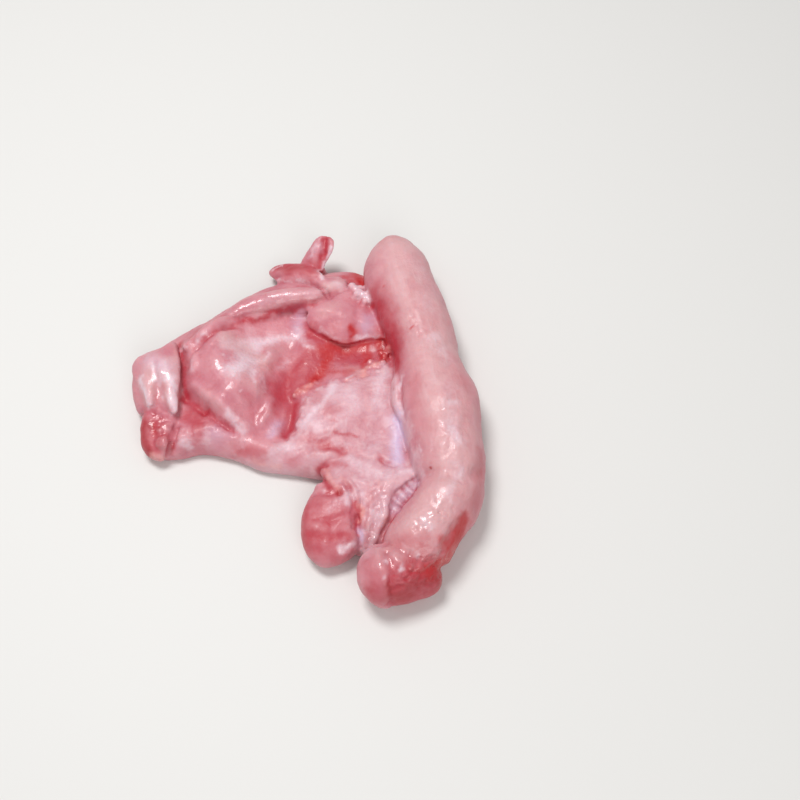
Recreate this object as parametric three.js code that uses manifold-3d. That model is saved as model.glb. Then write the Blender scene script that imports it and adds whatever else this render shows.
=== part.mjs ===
// Raw boneless rabbit meat in one piece: a leg that was opened out flat when its bone was
// taken out, and the loin that is still joined to it along its right side.
// It lies skin side down. Units are millimetres, +Z is up and +Y points away from the viewer.
// The origin is at the middle of the flat underside.
import * as THREE from "three";
import Module from "manifold-3d";
import { mergeVertices } from "three/addons/utils/BufferGeometryUtils.js";

const wasm = await Module();
wasm.setup();

// Driving dimensions.
const LOIN_TOP = 29; // height of the long loin muscle in its middle
const LEG_TOP = 10; // height of the opened leg where no muscle or hollow changes it
const RIM_HEIGHT = 3.5; // height at which the leg's round outer rim is widest
const WAIST = 0.42; // share of a muscle's height at which the muscle is widest
const BELOW = 4; // how far every shape goes under the table, before it is cut off flat
const LEG_SIDES = 80; // facets round the opened leg
const LEG_RINGS = 30; // facets from the middle of its top to the middle of its underside

const UP = new THREE.Vector3(0, 0, 1);

// Curves and solids ---------------------------------------------------------------------

function curveThrough(points, closed = false) {
  const corners = points.map(([x, y, z = 0]) => new THREE.Vector3(x, y, z));
  return new THREE.CatmullRomCurve3(corners, closed, "catmullrom", 0.5);
}

function asSolid(geometry) {
  geometry.deleteAttribute("normal");
  geometry.deleteAttribute("uv");
  const merged = mergeVertices(geometry, 1e-4);
  const mesh = new wasm.Mesh({
    numProp: 3,
    vertProperties: merged.attributes.position.array,
    triVerts: new Uint32Array(merged.index.array),
  });
  return new wasm.Manifold(mesh);
}

function asGeometry(solid) {
  const mesh = solid.getMesh();
  const geometry = new THREE.BufferGeometry();
  geometry.setAttribute("position", new THREE.BufferAttribute(mesh.vertProperties, 3));
  geometry.setIndex(new THREE.BufferAttribute(mesh.triVerts, 1));
  return geometry;
}

// A round shape along a smooth line. Each station is [x, y, z, half width, rise, drop]: how
// far the shape reaches sideways, above and below the line. It starts as a sphere, whose
// rings are carried onto the line, and it keeps a dome at each end.
function lobe(stations, { rings = 14, sides = 14 } = {}) {
  const line = curveThrough(stations);
  const sizes = curveThrough(stations.map(([, , , width, rise, drop = rise]) => [width, rise, drop]));
  const length = line.getLength();
  const [firstDome, lastDome] = [sizes.getPoint(0).x, sizes.getPoint(1).x];
  const geometry = new THREE.SphereGeometry(1, sides, rings);
  const vertex = geometry.attributes.position;
  const at = new THREE.Vector3();
  for (let i = 0; i < vertex.count; i++) {
    at.fromBufferAttribute(vertex, i);
    const along = Math.acos(at.y) / Math.PI;
    const turn = Math.atan2(-at.z, at.x);
    const tip = Math.min((along * length) / firstDome, ((1 - along) * length) / lastDome, 1);
    const dome = Math.sqrt(Math.max(0, 1 - (1 - tip) ** 2));
    const tangent = line.getTangent(along);
    const side = new THREE.Vector3().crossVectors(tangent, UP).normalize();
    const lift = new THREE.Vector3().crossVectors(side, tangent);
    const size = sizes.getPoint(along);
    const height = Math.sin(turn) > 0 ? size.y : size.z;
    at.copy(line.getPoint(along));
    at.addScaledVector(side, dome * size.x * Math.cos(turn));
    at.addScaledVector(lift, dome * height * Math.sin(turn));
    vertex.setXYZ(i, at.x, at.y, at.z);
  }
  return asSolid(geometry);
}

// A muscle that lies on the table. Each station is [x, y, half width, top].
function muscle(stations, facets) {
  const resting = stations.map(([x, y, width, top]) => {
    const waist = WAIST * top;
    return [x, y, waist, width, top - waist, waist + BELOW];
  });
  return lobe(resting, facets);
}

// A flap of thin meat: a sphere pressed flat between a closed outline and its middle.
function flap(outline, middle, thickness, { sides = 28, rings = 10 } = {}) {
  const rim = curveThrough(outline, true);
  const centre = new THREE.Vector3(...middle);
  const geometry = new THREE.SphereGeometry(1, sides, rings);
  const vertex = geometry.attributes.position;
  for (let i = 0; i < vertex.count; i++) {
    const [across, up, along] = [vertex.getX(i), vertex.getY(i), vertex.getZ(i)];
    const edge = rim.getPoint((Math.atan2(along, across) / (2 * Math.PI) + 1) % 1);
    const at = centre.clone().lerp(edge, Math.hypot(across, along));
    vertex.setXYZ(i, at.x, at.y, at.z + (thickness / 2) * up);
  }
  return asSolid(geometry);
}

// How far a point lies from a line of points, seen from above.
function distanceTo(path, x, y) {
  let nearest = Infinity;
  for (let i = 0; i + 1 < path.length; i++) {
    const [ax, ay] = path[i];
    const [dx, dy] = [path[i + 1][0] - ax, path[i + 1][1] - ay];
    const share = ((x - ax) * dx + (y - ay) * dy) / (dx * dx + dy * dy);
    const t = THREE.MathUtils.clamp(share, 0, 1);
    nearest = Math.min(nearest, Math.hypot(x - ax - t * dx, y - ay - t * dy));
  }
  return nearest;
}

// The opened leg ------------------------------------------------------------------------

// Swellings of the leg's top, and hollows where the height is below 0.
const RELIEF = [
  { name: "thigh muscle", path: [[-37, 30], [-33, 15], [-27, 5]], width: 13, height: 10.5 },
  { name: "inner ridge", path: [[-17, 22], [-18, 8], [-17, -4]], width: 6, height: 4 },
  { name: "lower ridge", path: [[-48, -15], [-34, -14], [-20, -17], [-8, -22]], width: 7, height: 3.5 },
  { name: "long hollow", path: [[0, 24], [-6, 8], [-6, -4]], width: 6, height: -3.5 },
  { name: "bone hollow", path: [[6, 25], [18, 22], [30, 20]], width: 8, height: -3 },
  { name: "membrane", path: [[12, -8], [24, 0], [38, 4]], width: 16, height: 5 },
  { name: "upper rim", path: [[-36, 42], [-20, 52], [0, 60], [20, 62]], width: 9, height: 2 },
];

const LEG_MIDDLE = [-8, 14];
const LEG_OUTLINE = [
  [-69, 8], [-69, 20], [-62, 31], [-52, 39], [-43, 44], [-35, 51], [-25, 59], [-13, 65], [0, 69],
  [14, 72], [26, 69], [38, 54], [45, 34], [49, 14], [52, -8], [52, -24], [44, -32], [32, -35],
  [19, -32], [6, -29], [-5, -27], [-16, -25], [-28, -20], [-40, -18], [-49, -21], [-58, -22],
  [-64, -16], [-67, -5],
];

function legTop(x, y) {
  let top = LEG_TOP;
  for (const { path, width, height } of RELIEF)
    top += height * Math.exp(-((distanceTo(path, x, y) / width) ** 2));
  return top;
}

function openedLeg() {
  const rim = curveThrough(LEG_OUTLINE, true);
  const geometry = new THREE.SphereGeometry(1, LEG_SIDES, LEG_RINGS);
  const vertex = geometry.attributes.position;
  for (let i = 0; i < vertex.count; i++) {
    const [across, up, along] = [vertex.getX(i), vertex.getY(i), vertex.getZ(i)];
    const reach = Math.hypot(across, along);
    const edge = rim.getPoint((Math.atan2(along, across) / (2 * Math.PI) + 1) % 1);
    const x = THREE.MathUtils.lerp(LEG_MIDDLE[0], edge.x, reach);
    const y = THREE.MathUtils.lerp(LEG_MIDDLE[1], edge.y, reach);
    const fullness = Math.sqrt(Math.max(0, 1 - reach ** 8));
    const height = up > 0 ? legTop(x, y) - RIM_HEIGHT : -RIM_HEIGHT - BELOW;
    vertex.setXYZ(i, x, y, RIM_HEIGHT + fullness * height);
  }
  return asSolid(geometry);
}

// The muscles and flaps that stand on the leg or lie beside it ---------------------------

const loin = muscle(
  [
    [37, 84, 12, LOIN_TOP - 4],
    [39, 69, 14.2, LOIN_TOP - 2],
    [41, 58, 15.2, LOIN_TOP - 1],
    [45, 47, 15, LOIN_TOP],
    [48.5, 37, 14.5, LOIN_TOP],
    [51, 28, 13.6, LOIN_TOP - 1],
    [52, 20, 13.6, LOIN_TOP - 1],
    [53.5, 11, 15, LOIN_TOP],
    [56, 1, 16.8, LOIN_TOP + 1],
    [57.5, -8, 16.4, LOIN_TOP + 1],
    [58.5, -17, 15.4, LOIN_TOP],
    [59.5, -27, 15, LOIN_TOP],
    [60, -36, 14, LOIN_TOP - 1],
    [58, -44, 13.2, LOIN_TOP - 1],
    [54.5, -51, 13.2, LOIN_TOP - 2],
    [51, -58, 13.4, LOIN_TOP - 3],
    [48, -65, 13, LOIN_TOP - 5],
    [46, -74, 12, LOIN_TOP - 8],
  ],
  { rings: 40, sides: 20 },
);

const loinFoot = muscle(
  [[24.5, -73, 10, 18], [31, -73, 12, 22], [39, -73, 12, 22], [48, -72.5, 11, 20], [54, -72, 9, 16], [59, -71, 7, 13]],
  { rings: 18, sides: 18 },
);

const leftFold = lobe(
  [[-66, 26, 12, 6, 5], [-65, 18, 13, 7, 6], [-63.5, 9, 13, 6.5, 6], [-61.5, -3, 10, 4.5, 5]],
  { rings: 12, sides: 12 },
);
const leftFlap = lobe(
  [[-58, 30, 12, 6, 6], [-57, 20, 14, 7, 7], [-55, 10, 15, 7, 7], [-52, -1, 14, 5.6, 6], [-50, -8, 11, 4, 5]],
  { rings: 14, sides: 12 },
);
const smallFold = lobe([[-50, 34, 10, 4, 4], [-47, 26, 12, 4.6, 4.6], [-45, 14, 12, 3.4, 4]], { rings: 10, sides: 10 });
const knuckle = muscle([[-61, 1, 6, 13], [-60, -8, 8, 17], [-58, -17, 8, 15], [-56, -25, 6, 9]], { rings: 12 });
const knuckleInside = muscle([[-54, -4, 5, 14], [-54, -13, 6, 17], [-54, -23, 5, 11]], { rings: 10, sides: 12 });

const topFold = lobe(
  [
    [-45, 35, 9, 3.4, 4], [-35, 42, 11, 4.6, 5], [-25, 46.5, 12.5, 5.8, 6], [-16, 49.5, 13.5, 6.4, 6.6],
    [-6, 51.5, 14, 6.4, 6.6], [3, 52, 14, 6, 6.4], [12, 51, 13, 4, 5],
  ],
  { rings: 20, sides: 14 },
);
const foldCap = lobe([[5, 57, 12, 3.6, 4], [12, 59, 13, 5.2, 5], [20, 58, 11, 4, 4]], { rings: 10, sides: 10 });
const triangleFlap = flap(
  [
    [0, 41, 16], [4, 45.5, 16], [11, 50, 15.5], [19, 54, 14], [27, 53, 12.5], [32, 46, 12], [36, 36, 11.5],
    [36, 31.5, 12], [29, 31, 14], [20, 28, 16], [14, 27.5, 17], [8, 31, 17.5], [3, 33, 17.5], [0, 36, 17],
  ],
  [18, 40, 18],
  6,
);
const flapRoot = lobe([[8, 44, 11, 6, 6], [18, 42, 11, 8, 6], [30, 40, 10, 8, 5]], { rings: 10, sides: 12 });

const curlBase = lobe(
  [[-18, 63, 5, 4, 4], [-12, 67.5, 8.5, 5, 4.6], [-4, 68, 10.5, 5, 5], [5, 64, 9, 5, 5]],
  { rings: 12, sides: 12 },
);
const curlTongue = lobe(
  [[0, 64, 8, 4.4, 3], [4, 70, 12, 4.8, 3], [6.5, 75, 15.5, 5, 3], [9.5, 82, 18.5, 4.4, 2.6]],
  { rings: 12, sides: 12 },
);

const roundLobe = muscle([[16, -35, 8, 15], [15, -44, 11, 19], [14, -54, 12, 19], [14.5, -68, 10, 13]], {
  rings: 16,
  sides: 18,
});
const lobeCurl = lobe(
  [[13, -33, 10, 4, 4], [18, -33.5, 14, 3.4, 3.4], [23, -37, 14, 3.4, 3.4], [24.5, -45, 12, 3, 4], [24, -54, 10, 2.4, 4]],
  { rings: 14, sides: 10 },
);
const strip = muscle([[38, -28, 11, 14], [34, -38, 9.5, 13], [31, -47, 7, 11], [28, -56, 5, 8], [25.5, -65, 2.6, 5]], {
  rings: 16,
  sides: 14,
});
const wetGroove = muscle([[50, -26, 10, 10], [44, -38, 9, 10], [37, -50, 8, 8], [30, -66, 4, 6]], {
  rings: 12,
  sides: 12,
});
const ribbedEdge = lobe([[50, -32, 9, 4, 4], [44.5, -40, 9.5, 4, 4], [38, -48, 8.5, 3.6, 3.6]], { rings: 10, sides: 10 });
const loinLip = lobe([[42.5, 15, 15, 2.6, 3.4], [40.5, 7, 16, 3, 4], [40.5, -1, 16, 3, 4], [43.5, -10, 15, 2.4, 3]], {
  rings: 10,
  sides: 10,
});

// One piece of meat ----------------------------------------------------------------------

const standingOnTheLeg = [
  loin, loinFoot, loinLip, leftFold, leftFlap, smallFold, knuckle, knuckleInside, topFold, foldCap, flapRoot,
  triangleFlap, curlBase, curlTongue, roundLobe, lobeCurl, strip, wetGroove, ribbedEdge,
];
const underTheTable = asSolid(new THREE.BoxGeometry(400, 400, 100).translate(0, 0, -50));

let whole = openedLeg();
for (const shape of standingOnTheLeg) whole = whole.add(shape);
whole = whole.subtract(underTheTable);

const geometry = asGeometry(whole);
geometry.computeBoundingBox();
const middle = geometry.boundingBox.getCenter(new THREE.Vector3());
geometry.translate(-middle.x, -middle.y, 0);
geometry.computeVertexNormals();

const meat = new THREE.Mesh(
  geometry,
  new THREE.MeshStandardMaterial({ color: new THREE.Color(0.72, 0.36, 0.4), roughness: 0.35, metalness: 0 }),
);
meat.name = "boneless_rabbit_meat";

const part = new THREE.Group();
part.add(meat);

export default part;
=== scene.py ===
# %% [markdown]
# # Raw boneless rabbit meat
# This lesson builds one piece of raw rabbit meat: a leg that was opened out flat when its
# bone was taken out, with the long loin muscle still joined along its right side.
# Meat has no flat faces and no straight edges, so the plan is the one a sculptor in clay
# follows: press simple round masses together, blend them into one skin, carve the folds,
# and colour the result last.

# %% Open the frame
import math

import bmesh
import bpy
import numpy as np
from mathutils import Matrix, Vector, noise


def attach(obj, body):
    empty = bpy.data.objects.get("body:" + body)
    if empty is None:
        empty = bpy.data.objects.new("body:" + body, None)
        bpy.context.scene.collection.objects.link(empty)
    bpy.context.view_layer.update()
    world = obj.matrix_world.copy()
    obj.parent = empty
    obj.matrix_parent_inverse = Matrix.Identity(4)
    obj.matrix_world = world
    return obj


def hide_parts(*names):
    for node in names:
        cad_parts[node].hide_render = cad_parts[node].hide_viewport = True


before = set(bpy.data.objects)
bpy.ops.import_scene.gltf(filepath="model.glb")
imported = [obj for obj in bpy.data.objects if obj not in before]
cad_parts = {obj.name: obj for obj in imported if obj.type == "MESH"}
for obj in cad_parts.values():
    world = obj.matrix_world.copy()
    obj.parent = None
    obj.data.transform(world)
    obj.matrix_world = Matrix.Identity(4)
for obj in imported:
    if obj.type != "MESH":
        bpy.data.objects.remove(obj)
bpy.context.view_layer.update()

# %% [markdown]
# ## Where things are
# The shapes are drawn in millimetres, in the viewer's own directions: +X right, +Y away and
# +Z up. The model's frame is in metres and has its origin under the middle of the piece, so
# one shift and one factor take a drawn point to the frame.
# The camera stands in front of the piece and looks steeply down on it, because that view
# shows the inside of the opened leg best.

# %% Drawing units and the camera
MM = 0.001
MIDDLE = Vector((1.18, -0.61, 0))  # the middle of the piece in the drawing, mm


def placed(x, y, z=0):
    """A drawn point, in mm, as a point of the model's frame, in metres."""
    return (Vector((x, y, z)) - MIDDLE) * MM


LOOKED_AT = placed(41, 9)
CAMERA_LENS = 50
CAMERA_SENSOR = 36
CAMERA_DISTANCE = 0.467
CAMERA_ELEVATION = math.radians(60)
camera_data = bpy.data.cameras.new("camera")
camera_data.lens = CAMERA_LENS
camera_data.sensor_width = CAMERA_SENSOR
camera_data.clip_start = 0.01
camera = bpy.data.objects.new("camera", camera_data)
bpy.context.scene.collection.objects.link(camera)
backwards = Vector((0, -math.cos(CAMERA_ELEVATION), math.sin(CAMERA_ELEVATION)))
camera.location = LOOKED_AT + CAMERA_DISTANCE * backwards
camera.rotation_euler = (math.pi / 2 - CAMERA_ELEVATION, 0, 0)
bpy.context.scene.camera = camera
print("camera at", [round(v, 3) for v in camera.location])

# %% [markdown]
# ## Smooth lines
# A muscle is drawn as a few stations along its middle. Blender's own curve objects could
# join them, but they hold only a place, a radius and a tilt. A Catmull-Rom curve worked out
# here goes smoothly through whatever a station holds: a place, a width or a height.


# %% Smooth lines through stations
def between(before, a, b, after, t):
    """The Catmull-Rom curve from a to b, at t from 0 to 1."""
    bend = 2 * before - 5 * a + 4 * b - after
    twist = 3 * a - before - 3 * b + after
    return (2 * a + (b - before) * t + bend * t**2 + twist * t**3) / 2


def on_line(stations, share):
    """The stations' values at a share, 0 to 1, of the smooth line through them."""
    last = len(stations) - 1
    place = min(max(share, 0), 1) * last
    first = min(int(place), last - 1)
    a, b = Vector(stations[first]), Vector(stations[first + 1])
    before = Vector(stations[first - 1]) if first > 0 else 2 * a - b
    after = Vector(stations[first + 2]) if first + 2 <= last else 2 * b - a
    return between(before, a, b, after, place - first)


def on_loop(corners, share):
    """A point of the smooth closed line through the corners."""
    place = (share % 1) * len(corners)
    corner = [Vector(corners[(int(place) + k) % len(corners)]) for k in (-1, 0, 1, 2)]
    return between(*corner, place - int(place))


print("halfway:", tuple(on_line([(0, 0), (2, 2), (4, 0)], 0.5)))

# %% [markdown]
# ## Round masses
# Every muscle starts as a ball. Its points are carried onto a smooth line, and each slice is
# widened, raised and lowered to that station's sizes. The ball has no open ends, so the
# muscle keeps a round dome at either tip and there is no hole to close. An icosphere is
# used because its small triangles are all alike, with no crowded poles.

# %% A muscle along a line
UP = Vector((0, 0, 1))
WAIST = 0.42  # share of a resting muscle's height at which it is widest
BELOW = 4  # how far a resting shape goes under the table before it is cut flat, mm
MARKS = 40  # steps in which a line's length is measured
NUDGE = 0.01  # share of a line to either side of a point that shows where the line is heading


def add_lobe(bm, stations, detail=5):
    """A round shape. A station is x, y, z, half width, rise above and drop below the line.

    Where the drop is left out, it is the same as the rise."""
    stations = [(*s, s[4]) if len(s) == 5 else tuple(s) for s in stations]
    marks = [on_line(stations, k / MARKS).to_3d() for k in range(MARKS + 1)]
    length = sum((b - a).length for a, b in zip(marks, marks[1:]))
    first_dome, last_dome = stations[0][3], stations[-1][3]
    for vert in bmesh.ops.create_icosphere(bm, subdivisions=detail, radius=1)["verts"]:
        along = math.acos(min(max(vert.co.z, -1), 1)) / math.pi
        turn = math.atan2(vert.co.y, vert.co.x)
        tip = min(along * length / first_dome, (1 - along) * length / last_dome, 1)
        dome = math.sqrt(max(0, 1 - (1 - tip) ** 2))
        here = on_line(stations, along)
        ahead = (on_line(stations, along + NUDGE) - on_line(stations, along - NUDGE)).to_3d()
        side = ahead.cross(UP).normalized()
        lift = side.cross(ahead).normalized()
        reach = here[4] if math.sin(turn) > 0 else here[5]
        ring = here[3] * math.cos(turn) * side + reach * math.sin(turn) * lift
        vert.co = here.to_3d() + dome * ring


def add_muscle(bm, stations, detail=5):
    """A shape that rests on the table. A station is x, y, half width and top."""
    resting = []
    for x, y, width, top in stations:
        resting.append((x, y, WAIST * top, width, (1 - WAIST) * top, WAIST * top + BELOW))
    add_lobe(bm, resting, detail)


def add_muscles(bm, lines):
    """Several muscles, such as the flesh that fills the room under a flap."""
    for line in lines:
        add_muscle(bm, line)


def add_flap(bm, outline, middle, thickness, plump=2, detail=5):
    """A pillow between a closed outline, drawn anticlockwise, and its middle.

    The higher plump is, the flatter its top and the fuller its edge."""
    for vert in bmesh.ops.create_icosphere(bm, subdivisions=detail, radius=1)["verts"]:
        reach = math.hypot(vert.co.x, vert.co.y)
        edge = on_loop(outline, math.atan2(vert.co.y, vert.co.x) / math.tau)
        lift = math.copysign(math.sqrt(max(0, 1 - reach**plump)), vert.co.z)
        vert.co = Vector(middle).lerp(edge, reach) + Vector((0, 0, thickness / 2 * lift))


def add_bead(bm, x, y, z, radius):
    """A small ball."""
    add_lobe(bm, [(x - radius, y, z, radius, radius), (x + radius, y, z, radius, radius)], detail=4)


masses = bmesh.new()
print("masses so far:", len(masses.verts), "points")

# %% [markdown]
# ## Swellings and hollows
# The opened leg is a thick sheet with a round rim. Its top is drawn as a list of swellings
# and hollows along short lines, the way a contour map would be. A bell curve round each
# line gives it soft shoulders. Sculpting by hand would do it too, but a list can be read,
# measured against the real piece and changed line by line.


# %% Distances to a drawn line
def distance(points, path):
    """How far each point lies from a line of corners, in the corners' own dimensions."""
    corners = np.array(path if len(path) > 1 else [path[0], path[0]], float)
    points = points[:, : corners.shape[1]]
    nearest = np.full(len(points), np.inf)
    for start, end in zip(corners[:-1], corners[1:]):
        run = end - start
        share = np.clip((points - start) @ run / max(run @ run, 1e-9), 0, 1)
        gap = points - start - share[:, None] * run
        nearest = np.minimum(nearest, np.linalg.norm(gap, axis=1))
    return nearest


def near(points, path, width):
    """1 on the line, falling smoothly to 0 at about twice the width."""
    return np.exp(-((distance(points, path) / width) ** 2))


def heaped(points, rows, start=0):
    """A start value and, on top, each row's height along its line: line, width, height."""
    total = np.full(len(points), float(start))
    for path, width, height in rows:
        total += height * near(points, path, width)
    return total


print("a bell curve one width away:", near(np.array([[3.0, 0.0]]), [(0, 0)], 3).round(2))

# %% The opened leg
LEG_TOP = 10
RIM_HEIGHT = 3.5
LEG_PLUMP = 8  # the higher, the fuller the sheet's edge
RELIEF = [  # line seen from above, width, height
    ([(-37, 30), (-33, 15), (-28, 6)], 12, 9),  # thigh muscle
    ([(-24, 16), (-23, 9)], 5, 1),  # its glossy crown
    ([(-44, 8), (-39, 3.5), (-34, -0.5), (-27.5, -6), (-21, -10.5)], 2.8, 2.4),  # its lower lip
    ([(-47, 4.6), (-43, 1.2), (-38.5, -2.6)], 2.2, -2.4),  # crease under the lip
    ([(-38.5, -2.6), (-33, -6.8), (-27, -11.2)], 2, -2),  # and on below the thigh
    ([(-53, 32), (-50, 22), (-48.2, 12), (-47, 3.6)], 2, -0.4),  # crease beside the cuff
    ([(-48.5, 28), (-45.5, 23), (-44, 17.5), (-45, 14.5)], 2, 2),  # a small upright fold
    ([(-13, 25), (-15.5, 19), (-16.5, 10), (-17, 4)], 2.8, 1.6),  # first ripple
    ([(-11.5, 3), (-12.5, -3), (-15, -8)], 2, 1.3),  # its lower end
    ([(-2.6, 3), (-3.4, -5), (-5.5, -12)], 2.2, -1.2),  # end of the long furrow
    ([(-1, 30), (-7, 20), (-10, 12)], 3.2, 1),  # second ripple
    ([(-4.5, 28.5), (-6, 20), (-6.5, 10.5), (-5, 3), (-4, -8)], 5, -2.4),  # long furrow
    ([(8, 15), (11.5, 21), (17, 26), (26, 26), (33, 27)], 6, -1.8),  # hollow that the bone left
    ([(-48.5, -15), (-41.5, -13), (-33, -13.5), (-23, -16.5), (-12, -20)], 5, 2),  # lower ridge
    ([(14, -8), (24, 0), (36, 4)], 15, 4),  # the inner thigh under its membrane
    ([(40, -8), (41, -24)], 4, 2),  # smooth strip beside the loin
    ([(-36, 42), (-20, 52), (0, 60), (20, 62)], 9, 2),  # upper rim
    ([(10, -24), (26, -26), (40, -26)], 6, 2.2),  # where the strip hangs on
]
LEG_MIDDLE = (-8, 14)
LEG_OUTLINE = [
    (-67.5, 8), (-69, 20), (-62, 31), (-52, 39), (-43, 44), (-35, 51), (-25, 59), (-13, 65),
    (0, 69), (14, 72), (26, 69), (38, 54), (45, 34), (49, 14), (52, -8), (52, -24), (46, -34),
    (34, -37), (20, -32), (6, -29), (-5, -27), (-16, -25), (-28, -20), (-40, -18), (-49, -20),
    (-57, -20), (-62, -15), (-62.5, -4),
]

ball = bmesh.ops.create_icosphere(masses, subdivisions=7, radius=1)["verts"]
start = np.array([vert.co for vert in ball])
reach = np.hypot(start[:, 0], start[:, 1])
turn = np.arctan2(start[:, 1], start[:, 0]) / math.tau
rim = np.array([on_loop(LEG_OUTLINE, 0.5 - share) for share in turn])
spread = LEG_MIDDLE + reach[:, None] * (rim - LEG_MIDDLE)
fullness = np.sqrt(np.maximum(0, 1 - reach**LEG_PLUMP))
above = heaped(spread, RELIEF, LEG_TOP) - RIM_HEIGHT
height = fullness * np.where(start[:, 2] > 0, above, -RIM_HEIGHT - BELOW)
for vert, (x, y), z in zip(ball, spread, height):
    vert.co = (x, y, RIM_HEIGHT + z)
print("the leg's top is", round(above.max() + RIM_HEIGHT, 1), "mm high at most")

# %% [markdown]
# ## The loin
# The loin is a long round muscle from beside the backbone. It lies along the right edge of
# the leg, and its lower end turns forward and ends in a blunt foot. A curve with a round
# profile could draw it, but it would have open ends, and the same height everywhere for its
# width. So it is one long muscle, with a few short ones for the foot and for the lip where
# the sheet runs into it.

# %% The loin
LOIN_TOP = 29
loin_line = [
    (37, 84, 12, LOIN_TOP - 4), (39, 69, 14.2, LOIN_TOP - 2), (41, 58, 15.2, LOIN_TOP - 1),
    (45, 47, 15, LOIN_TOP), (48.5, 37, 14.5, LOIN_TOP), (51, 28, 13.6, LOIN_TOP - 1),
    (52, 20, 13.6, LOIN_TOP - 1), (53.5, 11, 15, LOIN_TOP), (56, 1, 16.6, LOIN_TOP + 1),
    (57.5, -8, 16.2, LOIN_TOP + 1), (58.8, -17, 15.2, LOIN_TOP), (60.3, -27, 14.4, LOIN_TOP),
    (60.8, -36, 13, LOIN_TOP - 2), (59, -44, 13, LOIN_TOP - 1), (55.1, -50.9, 13.2, LOIN_TOP - 2),
    (50.4, -57.7, 13.6, LOIN_TOP - 3), (47, -64.6, 13.2, LOIN_TOP - 6), (46, -73, 9, LOIN_TOP - 11),
]
loin_foot = [
    (25.5, -74, 10.5, 17), (31, -73.6, 12, 22), (38, -73, 11.6, 23), (46, -72, 10.5, 20),
    (52, -71, 9, 15.5), (56, -69.5, 7.5, 12.5),
]
loin_ankle = [(49, -60, 9, 23), (52, -66, 9, 20), (54, -70, 7, 15)]
loin_lip = [
    (42.5, 15, 15, 2.6, 3.4), (40.5, 7, 16, 3, 4), (40.5, -1, 16, 3, 4), (43.5, -10, 15, 2.4, 3),
]
add_muscle(masses, loin_line, detail=6)
add_muscles(masses, [loin_foot, loin_ankle])
add_lobe(masses, loin_lip)
print("loin of", len(loin_line), "stations, up to", max(s[3] for s in loin_line), "mm high")

# %% [markdown]
# ## The folded cuff and the knuckle
# On the left the sheet's end is folded back over itself like a cuff, with two glossy tongues
# on top. Below it sits a small dark knuckle of meat, where the sinew was cut. A folded sheet
# could be modelled face by face, but the skin that is wrapped round everything later rounds
# its edges in any case. So both are pillows between an outline and a middle, muscles fill
# the room under the cuff, and beads make the knuckle lumpy.

# %% The cuff and the knuckle
cuff_outline = [
    (-68.5, 11, 11), (-65.5, 5.5, 11.5), (-63, 0.5, 11), (-61, -2, 10.6), (-59, -2.5, 10.6),
    (-57, -3, 11), (-55, -4, 11), (-52.6, -5, 11), (-50.6, -5, 11), (-49.5, -2.5, 12.5),
    (-48.8, 2, 14), (-48.8, 8.5, 15), (-49.5, 16, 15), (-51, 23.5, 14), (-53, 29, 13),
    (-55.5, 28, 14), (-58.5, 26, 14), (-62.5, 24, 14), (-66.5, 22.5, 13), (-69.5, 20.5, 12),
    (-70.5, 17, 11),
]
first_tongue = [
    (-66, 21, 12, 2.4, 2.2), (-63.5, 16.5, 13.8, 3, 2.4), (-61.2, 8, 14.6, 2.8, 2.2),
    (-60.3, 2, 14.2, 2, 1.8), (-60.3, -1.5, 13, 1.2, 1.3),
]
second_tongue = [
    (-56, 24, 14, 2, 1.8), (-54.4, 15, 15.8, 3.2, 2.2), (-52.6, 6, 15.8, 3.1, 2.2),
    (-51, -0.5, 14.6, 2.4, 1.8), (-50.2, -5, 13.2, 1.3, 1.3),
]
add_flap(masses, cuff_outline, (-58, 13, 14.5), 8, detail=6)
for tongue in (first_tongue, second_tongue):
    add_lobe(masses, tongue)
add_muscles(masses, [  # under the cuff
    [(-65.5, 24, 5, 12), (-63.5, 10, 7, 13), (-60, -2, 6, 11)],
    [(-58, 29, 6, 13), (-56, 14, 7, 15), (-53, -2, 6, 12)],
    [(-57.4, 8, 3, 15.4), (-57, 1, 3.5, 13.8), (-56.6, -4, 4, 12.6), (-56.6, -9, 4, 11.6)],
])
knuckle_outline = [
    (-64, -3, 8), (-64.6, -10, 7), (-63, -16.5, 6), (-59.6, -20.6, 5), (-56, -22, 5),
    (-52.8, -21.2, 6), (-51.2, -17.5, 7), (-49.8, -11.5, 8), (-49.4, -5, 9), (-52, 1, 9),
    (-57, 2, 9), (-61, 1, 9),
]
KNUCKLE_BEADS = [  # x, y, z, radius
    (-54, -16.5, 9.6, 3.2), (-60.4, -8, 8.4, 2.6), (-57.2, -5, 11.2, 1.6), (-54, -6.6, 11, 1.8),
    (-57.6, -9.6, 10.2, 1.6), (-55.6, -12, 10.4, 1.9), (-59.6, -13.6, 8, 2.6),
    (-52.4, -11, 9.6, 2.1), (-56.6, -19.4, 6, 2.6), (-60.8, -3.6, 10.6, 1.4),
]
add_flap(masses, knuckle_outline, (-57, -10, 6.5), 10, plump=3)
for bead in KNUCKLE_BEADS:
    add_bead(masses, *bead)
print("cuff, two tongues and a knuckle of", len(KNUCKLE_BEADS), "beads")

# %% [markdown]
# ## Folds along the upper edge
# A long fold runs along the far edge, a flap with three corners hangs over the hollow, and
# behind them a strip of meat has curled up with a small leaf standing on it. A row of small
# fat beads marks where the flap was cut. The long fold is a round shape on a line, the thin
# pieces are pillows, and each thin piece rests on muscles, because a hollow below it would
# show as a black hole. The crumbs where the membrane tore are beads as well: scattered by a
# rule they would miss the places where the tear really frays.

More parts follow.
